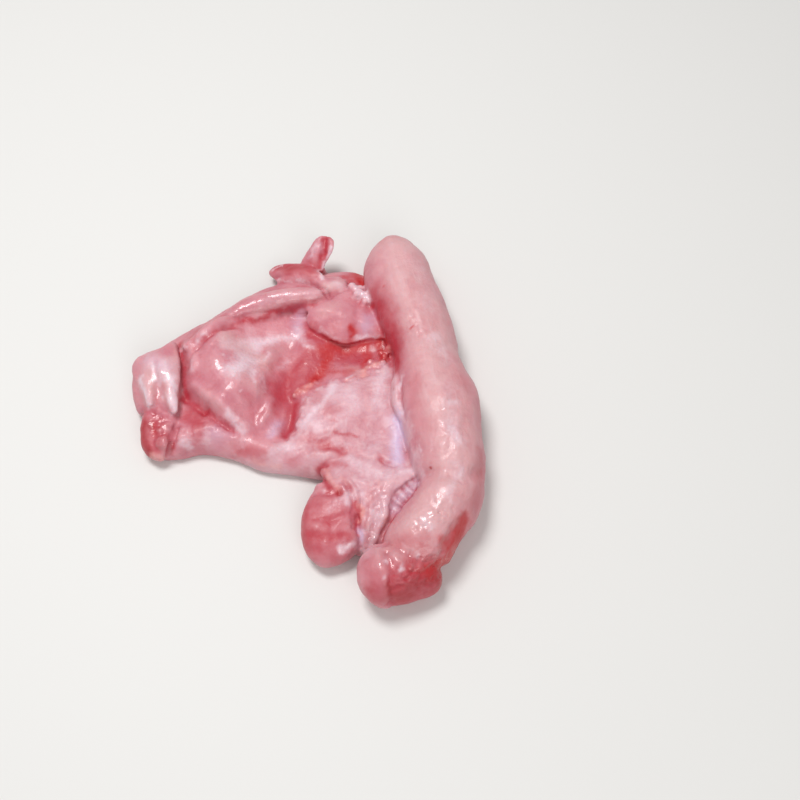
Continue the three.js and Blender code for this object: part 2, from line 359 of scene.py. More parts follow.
# %% The upper folds
top_fold = [
    (-44, 36, 7.5, 2.4, 3), (-34, 42.5, 9.5, 3.4, 4), (-25.5, 46.5, 11.5, 4.2, 5),
    (-17, 49, 12.5, 4.7, 5.6), (-8, 50.5, 13.5, 4.8, 5.8), (0.5, 51.5, 13.8, 4.6, 5.8),
    (6.5, 52.5, 13.4, 4, 5), (10.5, 53.5, 12, 2.6, 3),
]
end_cap = [
    (6.5, 57.5, 13), (10, 53, 13.4), (14.5, 55.5, 13), (18, 59, 12), (17.2, 62.4, 11.4),
    (14, 64.6, 11), (8.5, 64.2, 11), (4.8, 61.6, 12),
]
flap_outline = [
    (0.6, 41.6, 12), (2.4, 38, 11.6), (6, 35.6, 11.4), (9.5, 33.2, 11.4), (13.5, 30.8, 11.2),
    (17.6, 29.4, 11), (20.6, 30, 11), (25, 31.6, 10.6), (30.5, 33, 10.4), (35, 33.4, 10.6),
    (33, 40.5, 11.8), (29.8, 47, 12.2), (25, 52, 12.8), (20.5, 55, 13.4), (16, 54, 14),
    (11, 51, 14.6), (6, 48, 14.6), (2, 45, 14),
]
curl = [
    (-17.4, 71.6, 5), (-15, 67.4, 6), (-12, 64, 6.4), (-6, 62, 8.4), (1, 60.5, 10.4),
    (7, 60, 12.2), (8.4, 62.6, 12.8), (4, 68.2, 12), (-1.5, 71.6, 10.4), (-8, 74, 8.4),
    (-13.5, 74.8, 6.4),
]
leaf_outline = [
    (-2.4, 71, 9), (2.5, 67.4, 10.6), (6.6, 67.4, 11), (8.6, 70.4, 12.4), (10.8, 73, 15),
    (12.4, 75.2, 17), (12.6, 78, 18), (10.8, 81, 18.6), (6.6, 82, 18), (3.4, 80.6, 16.2),
    (1, 77.6, 13.6), (-2.4, 74.6, 9.8),
]
FAT_RADIUS = 1.7
FAT_BEADS = [  # x, y, z
    (20.5, 57, 14.6), (21.6, 55, 15), (23.6, 53.4, 15.2), (25.5, 51.7, 15.2), (27.4, 51.8, 14.8),
    (28, 49.8, 14.6), (23.8, 56, 14.2), (26, 49, 15), (22.5, 51.8, 15.4),
]
under_cap = [(2, 56, 5, 12), (9, 57, 5, 13), (15, 57.5, 5, 13), (22, 57, 6, 11.5), (27, 54, 6, 11)]
under_flap = [
    (4, 40, 8.5, 3.4, 4), (13, 36, 8, 4.4, 4.2), (24, 36, 8, 4.4, 3.8), (33, 37, 8, 3, 3.4),
]
add_lobe(masses, top_fold)
add_flap(masses, end_cap, (11.5, 59, 13), 4.6)
add_muscle(masses, under_cap)
add_lobe(masses, [(9, 51.5, 11.6, 2.4, 2.2), (14, 54.6, 11.4, 2.4, 2.2), (20, 57, 11, 2.4, 2.2)])
add_flap(masses, flap_outline, (17, 42, 15.2), 4.2)
add_lobe(masses, under_flap)
add_lobe(masses, [(6, 44, 10, 6, 4.5), (18, 42, 9.5, 8, 5), (30, 42, 8.5, 6, 4)])
add_muscles(masses, [
    [(3, 41, 3, 11.4), (6.4, 37.4, 3, 11.4), (11.6, 34, 3, 11), (17.4, 31.6, 3, 10.6)],  # flap's rim
    [(17.4, 31.6, 3, 10.6), (25, 33.2, 3, 10.2), (34, 35, 3, 10)],
    [(-6, 46.4, 3, 12.4), (-1, 47, 3, 13.4), (4, 47.6, 3, 14.2)],  # under the long fold
    [(-27, 41, 4, 12.6), (-18, 44.4, 4, 13.4), (-9, 46.4, 4, 14)],
])
add_flap(masses, curl, (-4, 67, 10.6), 4.6, plump=3)
add_muscle(masses, [(-14, 71, 4, 6.5), (-7, 69.5, 5.5, 9), (0, 67, 5.5, 11), (6, 63, 5, 12)])
add_flap(masses, leaf_outline, (6, 75, 14.6), 4)
add_muscle(masses, [(0, 71.5, 4.4, 10), (4, 72, 4.6, 12), (6.5, 74.5, 4, 13)])
add_bead(masses, 2.4, 47, 13.2, 2.4)  # between the long fold and the flap
for x, y, z in FAT_BEADS:
    add_bead(masses, x, y, z, FAT_RADIUS)
add_muscle(masses, [(20, 58, 2.6, 13.2), (24, 56, 2.6, 13.4), (28.4, 51.6, 2.6, 13.4)])
print("upper folds and", len(FAT_BEADS), "fat beads")

# %% Crumbs along the tear
TEAR_BEADS = [  # x, y, z, radius
    (-2.4, 5.6, 9.4, 1.1), (-0.6, 7.6, 9.4, 1.2), (1.4, 7, 10, 1), (2.6, 9.4, 9.6, 1.3),
    (4.4, 10.6, 10, 1), (5.6, 12.6, 9.6, 1), (25.4, 13.6, 11.4, 1.1), (26, 16.4, 10.8, 1.3),
    (28.4, 18.4, 10.6, 1.2), (31, 19.4, 10.6, 1.4), (33.6, 20.6, 11, 1.3), (28.4, 22, 9.8, 1.1),
    (34.6, 23.4, 10.4, 1.5), (33, 26, 10, 1.2), (36, 27, 10.6, 1.6), (36.6, 30.6, 11.4, 1.5),
    (18.6, 12, 11.6, 1), (22, 12.8, 11.6, 1),
]
for bead in TEAR_BEADS:
    add_bead(masses, *bead)
print("tear crumbs:", len(TEAR_BEADS))

# %% [markdown]
# ## The rolled lobe and the torn strip
# At the front the thin flank has rolled up on itself, which shows as a spiral at its upper
# end. Beside it a torn strip runs down to a point, and a short ribbed edge meets the loin.
# A sheet rolled up turn by turn would hide nearly all of its turns, so the lobe is one plump
# pillow, and only the lips that show of the spiral are laid on it as thin round shapes.

# %% The front pieces
lobe_outline = [
    (15, -30, 8), (11.5, -32.6, 8), (8, -36, 8), (5, -41, 7.5), (3.2, -46, 7), (2.7, -51, 7),
    (3, -55, 7), (4, -59.5, 6.5), (6, -63.5, 6), (9, -66.6, 5.5), (12.5, -67.8, 5.5),
    (16.5, -67, 5.5), (20, -65.6, 6), (23, -63.6, 6), (25.2, -61, 6.5), (24.9, -57, 7),
    (24, -53, 8), (24.2, -47, 9), (24.4, -40.5, 9.5), (23, -35, 10), (19.5, -30, 10),
]
roll_lip = [
    (10.6, -28, 8.6, 2.4, 2.4, 5), (13.4, -32.4, 10.8, 2.2, 2.2, 5), (15.4, -36.2, 12, 2, 1.9, 5),
    (17.4, -39.4, 12.6, 1.5, 1.5, 4),
]
roll_rim = [
    (15.5, -30.5, 11, 2.2, 2.2, 6), (19.2, -33.6, 12.4, 1.6, 1.8, 6),
    (22.4, -37, 12.8, 1.5, 1.8, 6), (24.2, -42, 12.2, 1.3, 1.7, 6), (25, -49, 11, 1.2, 1.5, 6),
]
roll_tip = [
    (7.5, -37.4, 8, 1.8, 2, 4), (10.3, -36.8, 10, 2.3, 2.2, 4), (13, -38.4, 10.6, 1.8, 1.8, 4),
]
strip_outline = [
    (12.4, -26, 11), (14.4, -30, 12.2), (18.5, -32.4, 12.8), (22.2, -35.4, 13), (24.6, -39.6, 12.4),
    (25.4, -44.5, 11.6), (25.2, -50, 10.5), (25.6, -54, 9.5), (26.6, -57.5, 8.5), (27, -62, 7.5),
    (27.2, -66, 5), (28.6, -65, 6), (30.6, -62, 7.5), (32.6, -57.5, 9), (34.6, -53, 10.5),
    (36.4, -50, 11.5), (37, -45.5, 12), (38.6, -41.4, 12.6), (41.4, -38.4, 13), (45, -35.8, 13),
    (48, -32, 12.6), (46, -25, 11), (38, -19, 10.4), (26, -17, 10.2), (15, -21, 10.2),
]
add_flap(masses, lobe_outline, (14, -50, 6.8), 13.6, plump=3, detail=6)
add_muscle(masses, [
    (25, -38, 3.4, 11.6), (25, -48, 3.2, 10.8), (25.4, -56, 3, 9.6), (26.4, -62, 2.6, 7.4),
])
for fold in (roll_lip, roll_rim, roll_tip):
    add_lobe(masses, fold)
add_muscle(masses, [(16, -26, 6, 10), (17, -34, 6, 10), (17, -42, 6, 9)])
add_flap(masses, strip_outline, (32, -38, 12.8), 4.2, plump=3, detail=6)
add_muscles(masses, [  # under the strip and along its right edge
    [(50, -26, 10, 9), (42, -36, 10, 9), (36, -48, 9, 7), (34, -60, 7, 5), (30, -66, 4, 4)],
    [(45, -42, 4, 11), (40, -47, 5, 11), (35.5, -53, 4.6, 9.6), (32, -61, 3.6, 8)],
    [(50, -33, 4, 13), (46, -35, 4, 13), (40.4, -39.6, 4, 12.6), (37.4, -46, 3.4, 12)],
])
RIBBED_PATCH = [
    (49, -35), (46, -34), (43, -36.4), (39.6, -40), (37, -44), (36.8, -47.8), (39.5, -48.4),
    (43.4, -45.4), (46.8, -42), (49, -39),
]
ribbed_edge = [
    (48, -36.6, 10, 3, 2.6, 4), (43.6, -40.8, 10, 4.4, 2.8, 4), (39, -45.8, 9.2, 3.4, 2.6, 4),
]
add_lobe(masses, ribbed_edge)

meat_mesh = bpy.data.meshes.new("rabbit_meat")
masses.to_mesh(meat_mesh)
masses.free()
meat = bpy.data.objects.new("rabbit_meat", meat_mesh)
bpy.context.scene.collection.objects.link(meat)
print("faces before blending:", len(meat_mesh.polygons))

# %% [markdown]
# ## One skin
# A voxel remesh fills the shapes with tiny cubes and wraps one new skin round them all, so
# the overlapping masses become one closed body. A Boolean union would keep a hard seam
# wherever two masses meet, and meat has none. Cubes of about two thirds of a millimetre keep
# the folds and leave enough points to carve, and a little smoothing takes off their steps.

# %% Blend the masses into one skin
SKIN_CELL = 0.68


def finished(obj):
    """Replaces the object's mesh by what its modifiers make of it."""
    depsgraph = bpy.context.evaluated_depsgraph_get()
    result = bpy.data.meshes.new_from_object(obj.evaluated_get(depsgraph))
    obj.modifiers.clear()
    old, obj.data = obj.data, result
    bpy.data.meshes.remove(old)
    result.name = obj.name
    return result


remesh = meat.modifiers.new("one skin", "REMESH")
remesh.mode = "VOXEL"
remesh.voxel_size = SKIN_CELL
finished(meat)
soften = meat.modifiers.new("soften", "SMOOTH")
soften.factor = 0.5
soften.iterations = 3
mesh = finished(meat)
print("skin of", len(mesh.vertices), "points")

# %% [markdown]
# ## A flat underside
# Soft meat lies flat on the table. The skin is cut along the table top with a bisect, what
# is under it is thrown away, and the cut is closed. A scrap that hangs together with nothing
# else is dropped too, because the meat is one piece.

# %% Cut the underside flat
ON_TABLE = 0.05  # a point this near the table top counts as lying on it, mm
skin = bmesh.new()
skin.from_mesh(mesh)
everything = [*skin.verts, *skin.edges, *skin.faces]
bmesh.ops.bisect_plane(skin, geom=everything, plane_no=UP, clear_inner=True, dist=ON_TABLE)
open_edges = [edge for edge in skin.edges if edge.is_boundary]
filled = bmesh.ops.holes_fill(skin, edges=open_edges, sides=0)
bmesh.ops.recalc_face_normals(skin, faces=filled["faces"])
loose = set(skin.verts)
parts = []
while loose:
    part = set()
    growing = [loose.pop()]
    while growing:
        vert = growing.pop()
        part.add(vert)
        beyond = {edge.other_vert(vert) for edge in vert.link_edges} & loose
        loose -= beyond
        growing.extend(beyond)
    parts.append(part)
body = max(parts, key=len)
scraps = [vert for vert in skin.verts if vert not in body]
bmesh.ops.delete(skin, geom=scraps, context="VERTS")
skin.to_mesh(mesh)
skin.free()
print("underside closed by", len(filled["faces"]), "faces;", len(parts) - 1, "scraps dropped")

# %% [markdown]
# ## Carving
# From here on the skin is a cloud of points that can be moved by rules. Two tools help: a
# noise field, which gives each point a smooth random value, and an average over neighbours,
# which shows whether a point lies in a crease or on a ridge. A displacement in the shader
# would be lost when the mesh is exported, so the relief goes into the points themselves.

# %% Tools for carving
COUNT = len(mesh.vertices)
edges = np.empty(len(mesh.edges) * 2, int)
mesh.edges.foreach_get("vertices", edges)
edge_start, edge_end = edges.reshape(-1, 2).T
neighbours = np.bincount(edge_start, minlength=COUNT) + np.bincount(edge_end, minlength=COUNT)


def averaged(values, rounds):
    """Values mixed with their neighbours' again and again."""
    for _ in range(rounds):
        from_end = np.bincount(edge_start, values[edge_end], COUNT)
        from_start = np.bincount(edge_end, values[edge_start], COUNT)
        values = 0.5 * values + 0.5 * (from_end + from_start) / neighbours
    return values


def skin_points():
    """Every point's place, one row each, in mm."""
    values = np.empty(COUNT * 3)
    mesh.vertices.foreach_get("co", values)
    return values.reshape(-1, 3)


def skin_normals():
    """The way out of the skin at every point, one row each."""
    values = np.empty(COUNT * 3)
    mesh.vertex_normals.foreach_get("vector", values)
    return values.reshape(-1, 3)


FREE_HEIGHT = 3  # mm above the table from which the skin moves by the full amount


def raise_skin(amount):
    """Moves the skin out along its normals, by mm, and leaves the edge on the table."""
    points = skin_points()
    free = np.clip(points[:, 2] / FREE_HEIGHT, 0, 1)
    points += (free * amount)[:, None] * skin_normals()
    points[:, 2] = np.maximum(points[:, 2], 0)
    mesh.vertices.foreach_set("co", points.ravel())
    mesh.update()
    print("skin moved by", round(amount.min(), 2), "to", round(amount.max(), 2), "mm")


SEED_STEP = (37.7, 11.3, 5.1)  # each seed reads the noise this much further on
FADING = 1  # how fast finer layers of noise fade
FINENESS = 2  # how much finer each layer is than the one before


def field(points, size, seed=0, layers=2):
    """A smooth random value, about -1 to 1, with features of that size in mm."""
    shift = Vector([step * seed for step in SEED_STEP])
    values = [noise.fractal(Vector(p) / size + shift, FADING, FINENESS, layers) for p in points]
    return np.array(values)


def winding(points, size, seed):
    """Thin winding ridges: 1 on a ridge, and down to about -1 away from it."""
    return 1 - 2 * np.abs(field(points, size, seed))


# %% Uneven flesh
points = skin_points()
swellings = field(points, 16, seed=1)
dimples = field(points, 6, seed=2)
raise_skin(0.6 * swellings + 0.32 * dimples)

# %% [markdown]
# ## Named grooves and ridges
# The folds that the eye looks for are carved by name: a line in space, a width and a
# height. A height below 0 is a groove. Masses alone can't give them, because the remesh
# closes every gap that is narrower than its cubes.

# %% Carve the folds
CARVED = [  # line, width, height
    ([(-60, 17, 18), (-58, 10, 17.5), (-56.4, 3, 16)], 1.7, -0.7),  # cuff, between its tongues
    ([(-57.5, 16, 19), (-56.4, 10, 19)], 0.9, 0.4),
    ([(-65, -2, 10), (-59.5, -4, 12), (-54, -7, 12.5), (-48.5, -7.5, 12)], 1.2, -0.6),  # below it
    ([(-49.2, -10, 11), (-50, -15, 11), (-50.8, -19, 9), (-51.6, -22, 6)], 1.5, -2.2),  # knuckle
    ([(-58.6, -8, 13), (-58.6, -13, 12.5)], 1, -0.7),
    ([(8, 79.5, 18.5), (7.5, 74.5, 15.5), (5, 69.5, 12), (4, 67, 11)], 1.6, -1.3),  # leaf's fold
    ([(-15, 67, 7), (-8, 66, 10), (-1, 64.6, 12), (5, 62.4, 13)], 1, -0.8),  # curled strip
    ([(-13, 72, 8), (-6, 71.4, 11), (0, 69, 12.4)], 1.8, -0.6),
    ([(17.2, -40.6, 14)], 1.7, -1.6),  # the roll's eye
    ([(12, -33.5, 10), (13.3, -37, 12), (15, -39.8, 13), (17.2, -40.4, 14)], 1.2, -1.4),  # lips
    ([(17.6, -40, 14), (18, -37, 14), (19.4, -36.4, 14.4), (21.4, -39, 14.8)], 1, -0.9),
    ([(21.4, -39, 14.8), (22.8, -43, 14.6), (23.2, -48, 14), (23.4, -54, 12)], 1, -0.9),
    ([(6.5, -40.2, 11), (10, -40.4, 13), (14, -41.2, 14)], 1, -0.9),
    ([(25.2, -44, 12), (24.8, -50, 11), (24.9, -55, 10), (26, -61, 8)], 1, -0.9),
    ([(6, -50.5, 14), (14, -52, 14), (22, -49, 14)], 1.3, -0.5),  # across the lobe
    ([(4, -58, 14), (13, -59.5, 15), (22, -57.5, 14)], 1.8, -0.7),
    ([(49.5, -40, 10), (45, -45, 9), (40.5, -49.5, 8)], 1.6, -0.7),  # below the ribbed edge
    ([(47.5, -34, 14), (43.5, -37, 14), (39.6, -40.2, 13.6), (37.6, -45, 13)], 0.9, -0.7),  # above
    ([(33, -25, 13.5), (35.5, -27.5, 13.5), (39, -28.5, 13.5)], 1.1, -1),  # a slit in the sheet
    ([(5.4, 57, 15.5), (7, 54, 17), (9, 51.8, 17), (10.8, 50.8, 15)], 1, -1.5),  # by the end cap
    ([(-30.5, 42, 14.5), (-36, 36.5, 17), (-42, 31, 17), (-48, 26.5, 14)], 1.7, 1.3),  # fold's tail
    ([(-45.5, 22, 16), (-41, 26.5, 17.5), (-35.5, 31.5, 18.5), (-29, 36.5, 15)], 1.5, -1.2),
    ([(22.5, 49.5, 15), (23, 42.5, 16), (22.5, 36.5, 15), (21.5, 32, 13)], 1.6, -0.5),  # flap
    ([(30, -44, 14), (29.4, -50, 13), (28.6, -57, 11), (28.2, -63, 9)], 1.1, 0.5),  # strip's ridges
    ([(37, -44, 14), (35, -50, 13), (32.4, -56, 11), (30, -62, 9)], 1.1, 0.5),
    ([(33.4, -43, 14), (32, -50, 13), (30.4, -57, 11)], 1.2, -0.5),
    ([(51, -36, 22), (55, -38.5, 26), (61.5, -40, 27.5), (68, -38, 25), (72, -34, 18)], 3, -1),  # bend
    ([(61, -8, 29), (60.5, -24, 29), (60, -36, 27)], 2, -0.35),  # seam along the loin
    ([(42.5, 11.5, 19), (41.5, 4, 20), (41.5, -3, 20), (43, -10, 19)], 1.4, -0.8),  # behind its lip
    ([(36, -68, 22), (36.3, -73, 22), (36.6, -78, 18), (36.6, -84, 9)], 1.8, -1.8),  # foot's crease
    ([(27.5, -67, 14), (31, -65, 16.5), (35, -63.6, 19)], 1.7, -1.2),
    ([(1, -20.5, 11.5), (13, -20, 12.5), (25, -23.5, 13), (37, -29, 13)], 1.4, -0.5),  # membrane
    ([(9, -15.5, 12.5), (17, -13, 13.5), (27, -16, 14), (35, -19.5, 14)], 1.4, -0.4),
]
raise_skin(heaped(skin_points(), CARVED))
print("carved", len(CARVED), "grooves and ridges")

# %% [markdown]
# ## Membrane, torn edge and ribs
# A silvery membrane covers the inner thigh. It was torn off the hollow, so it ends in a
# ragged step with crumbs along it, and fine creases run through it, side by side with the
# tear. The distance from the tear is used as the pattern's first direction, so that the
# creases follow it.


# %% Inside an outline
def inside(points, outline, soft):
    """1 inside a closed outline seen from above, 0 outside, with an edge that soft."""
    crossings = np.zeros(len(points), int)
    for (x1, y1), (x2, y2) in zip(outline, outline[1:] + outline[:1]):
        crosses = (points[:, 1] < y1) != (points[:, 1] < y2)
        x = x1 + (points[:, 1] - y1) * (x2 - x1) / ((y2 - y1) or 1)
        crossings += crosses & (points[:, 0] < x)
    gap = distance(points, outline + outline[:1])
    signed = np.where(crossings % 2, gap, -gap)
    return np.clip(0.5 + signed / soft, 0, 1)


MEMBRANE = [
    (37, 23.5), (31.5, 16.5), (25, 12), (19, 11), (13, 11.5), (8, 8), (2.5, 3), (1, -3),
    (0, -8.5), (-3, -14), (-7.5, -17), (-13.5, -20), (-22.5, -21.5), (-30, -21), (-23, -27),
    (-5, -32), (11, -35), (21.5, -38), (24.5, -50), (26, -70), (30, -70), (38, -50), (50, -36),
    (46, -17), (42, -3.5), (39, 10.5),
]
TORN_EDGE = [
    (36, 21, 12), (31.5, 16.5, 12.5), (25, 12.5, 12.5), (19, 11, 12.5), (13, 11.5, 12.5),
    (8, 8, 12), (2.5, 3, 11.5), (1, -3, 11.5), (0, -8.5, 11), (-3, -14, 11), (-7.5, -17, 10.5),
]
CUT_FACE = [
    (37, -70), (41, -74), (45, -74.5), (50, -73.5), (53.5, -70), (56.5, -65), (61, -58), (66, -52),
    (74, -56), (66, -72), (60, -82), (50, -90), (38, -92), (36.5, -80),
]
CUT_RIDGE = [(39, -73, 20), (45, -73.5, 19), (50, -72, 18), (53.5, -68.5, 18), (57, -63, 17)]
TORN = [  # line, width, strength
    (TORN_EDGE, 1.8, 1),
    (CUT_RIDGE, 1.8, 0.8),
    ([(29, 18, 11), (34, 22, 11), (36, 28, 12)], 2.4, 0.7),
    ([(17, 63, 12), (23, 59, 11), (28, 53, 12), (33, 44, 13), (37, 35, 13)], 3, 0.7),
    ([(-57, -5, 12), (-56.5, -11, 12)], 2.4, 0.8),
]
STRETCH = 9  # how many times longer than wide a crease in the membrane is
points = skin_points()
wander = np.stack([field(points, 4.5, seed, layers=3) for seed in (5, 6, 7)], axis=1)
membrane = inside(points + 1.6 * wander, MEMBRANE, 5)
from_tear = distance(points + 0.8 * wander, TORN_EDGE)
grain_space = np.stack([from_tear, points[:, 0] / STRETCH, points[:, 1] / STRETCH], axis=1)
here_and_there = np.clip(0.5 + 1.2 * field(points, 11, seed=9, layers=1), 0, 1)
creases = winding(grain_space, 3.4, seed=3) * here_and_there
print("membrane on", round(100 * membrane.mean()), "% of the skin")

# %% Carve the membrane, the cut face and the ribs
STEP_HEIGHT = 0.4
CREASE_HEIGHT = 0.16
CUT_DEPTH = 0.9
RIB_HEIGHT = 0.4
RIB_SPACING = 3
step = inside(points + 2.6 * wander, MEMBRANE, 1.6) * near(points, TORN_EDGE, 9)
cut_face = inside(points + 0.8 * wander, CUT_FACE, 1.6)
crumbs = np.maximum(field(points, 2, seed=4, layers=1), -0.2)
relief = STEP_HEIGHT * step + CREASE_HEIGHT * membrane * creases - CUT_DEPTH * cut_face
raise_skin(relief + heaped(points, TORN) * crumbs)
ribbed = inside(points, RIBBED_PATCH, 1) * near(points, [(44, -41, 12)], 12)
across_ribs = 0.66 * points[:, 0] + 0.75 * points[:, 1] + 0.8 * wander[:, 0]
rib_wave = np.cos(math.tau * across_ribs / RIB_SPACING)
raise_skin(RIB_HEIGHT * ribbed * rib_wave)

# %% [markdown]
# ## Wet wrinkles
# Wet flesh is finely wrinkled where it was handled, and each little wrinkle throws back its
# own glint. The same pattern of winding ridges covers the whole piece, faintly, and lines
# along the places that were handled make it stronger there.

# %% Wet wrinkles
EVERYWHERE = 0.04  # height of the faint wrinkles, mm
WRINKLED = [  # line, width, height
    ([(-48, -12, 11), (-40, -11, 12), (-30, -12.5, 12)], 5, 0.3),  # lower ridge
    ([(-57, -8, 13), (-54, -17, 13)], 5, 0.3),  # knuckle
    ([(36, -32, 13), (31, -45, 12), (28, -62, 8)], 5, 0.32),  # strip
    ([(61, -6, 29), (63, -25, 28), (64, -40, 26), (58, -52, 26)], 6, 0.22),  # loin
    ([(45, 30, 27), (50, 24, 27), (54, 18, 27)], 6, 0.15),
    ([(49, -60, 25), (55, -56, 25)], 5, 0.25),
    ([(-5, 33, 15), (0, 38, 14)], 4, 0.25),  # beside the flap
    ([(46, -70, 20), (56, -64, 17)], 5, 0.3),  # foot
    ([(43, -77, 19), (53, -74, 14)], 6, 0.35),
]
points = skin_points()
raise_skin(heaped(points, WRINKLED, EVERYWHERE) * winding(points, 2.6, seed=8))

# %% [markdown]
# ## Stains
# Colour on meat follows its structure: blood gathers in creases, membranes are pale, and a cut
# muscle is deep red. Some masks paint light and shade as well: shade in creases and under
# folds and flaps, and highlights and glints on wet crowns. Each kind of colour is a mask, a
# number from 0 to 1 on every point, built from patches along drawn lines. A little noise in
# the points makes the patches' edges wander. Vertex painting by hand could do it too, but
# lines can be moved and measured, and give the same result each time. A comment names the
# place of its own patch and of those below it, up to the next comment.

# %% Tools for stains
points = skin_points()
wandering = points + 1.4 * wander
KINDS = ("pale", "film", "glint_and_fat", "rose", "blood", "dark", "lilac", "salmon", "wet")
stains = {kind: np.zeros(COUNT) for kind in KINDS}
LEVEL = (1, 1, 0.5)  # heights count half, so that a stain follows an uneven skin


def stain(kind, patches):
    """Adds patches: a line, a width and a strength. They build up, but never pass 1."""
    for path, width, strength in patches:
        patch = strength * near(wandering * LEVEL, np.multiply(path, LEVEL), width)
        stains[kind] = 1 - (1 - stains[kind]) * (1 - patch)
    print(kind, "in", len(patches), "patches")


# %% Pale: the loin's silverskin, thin places, and a painted sheen on the crowns of the thigh and the long fold
LOIN_CREST = [
    (40, 76, 24), (43, 62, 27), (46, 48, 28), (51, 34, 28), (55, 22, 27), (57, 6, 29),
    (59.5, -10, 29), (62, -28, 28), (60, -44, 27), (53, -54, 26), (47, -62, 23),
]
stain("pale", [
    (LOIN_CREST, 14, 1),
    ([(-61.5, 17, 17), (-61.5, 4, 16)], 6, 0.8),  # cuff
    ([(-52, 17, 18), (-51, 1, 17)], 5, 0.8),
    ([(14.5, 58, 14), (10, 57, 14)], 3.4, 1),  # end cap
    # top fold: a painted highlight along its crest
    ([(7, 49, 16), (-1, 48, 17.5), (-12, 45.6, 16.5), (-20.5, 43.6, 14.5)], 2.6, 0.5),  # top fold
    ([(-37, -15.5, 9.5), (-23, -19, 8.5), (-10.5, -24, 8.5)], 5, 0.4),  # lower ridge
    ([(31, -73.5, 21), (34.5, -68, 21), (41, -68.5, 21)], 4, 0.3),  # the foot's crown
    ([(13.5, 45.5, 16.5), (9, 43, 16)], 4, 0.5),  # flap
    ([(34, -42.5, 14), (32, -49.5, 12.5), (30, -56, 11), (28.5, -62, 8)], 3, 0.9),  # strip
    # thigh: a painted sheen on its crown and its lip
    ([(-30, 28, 16), (-22, 25, 14), (-16, 20, 12.5)], 6, 0.9),  # thigh
    ([(-25, 12, 18), (-20, 8, 17), (-16, 4, 15)], 5, 0.5),
    ([(-38, 2, 16), (-33, -3, 15)], 3, 0.45),
    ([(-12, 30, 10), (-8, 28, 9)], 5, 0.5),
    ([(20.5, 18, 10.5), (24, 15.5, 11)], 3, 0.7),  # hollow
    ([(26.5, -40, 13), (27, -47.5, 12.5), (26, -52.5, 11)], 1.8, 0.8),
])
stain("film", [
    ([(20, -27, 12), (30, -30, 14), (42, -32, 15)], 6, 0.9),
    ([(31, -38, 14), (32, -46, 13)], 4.5, 0.6),
])
stains["film"] = np.maximum(stains["film"], membrane)

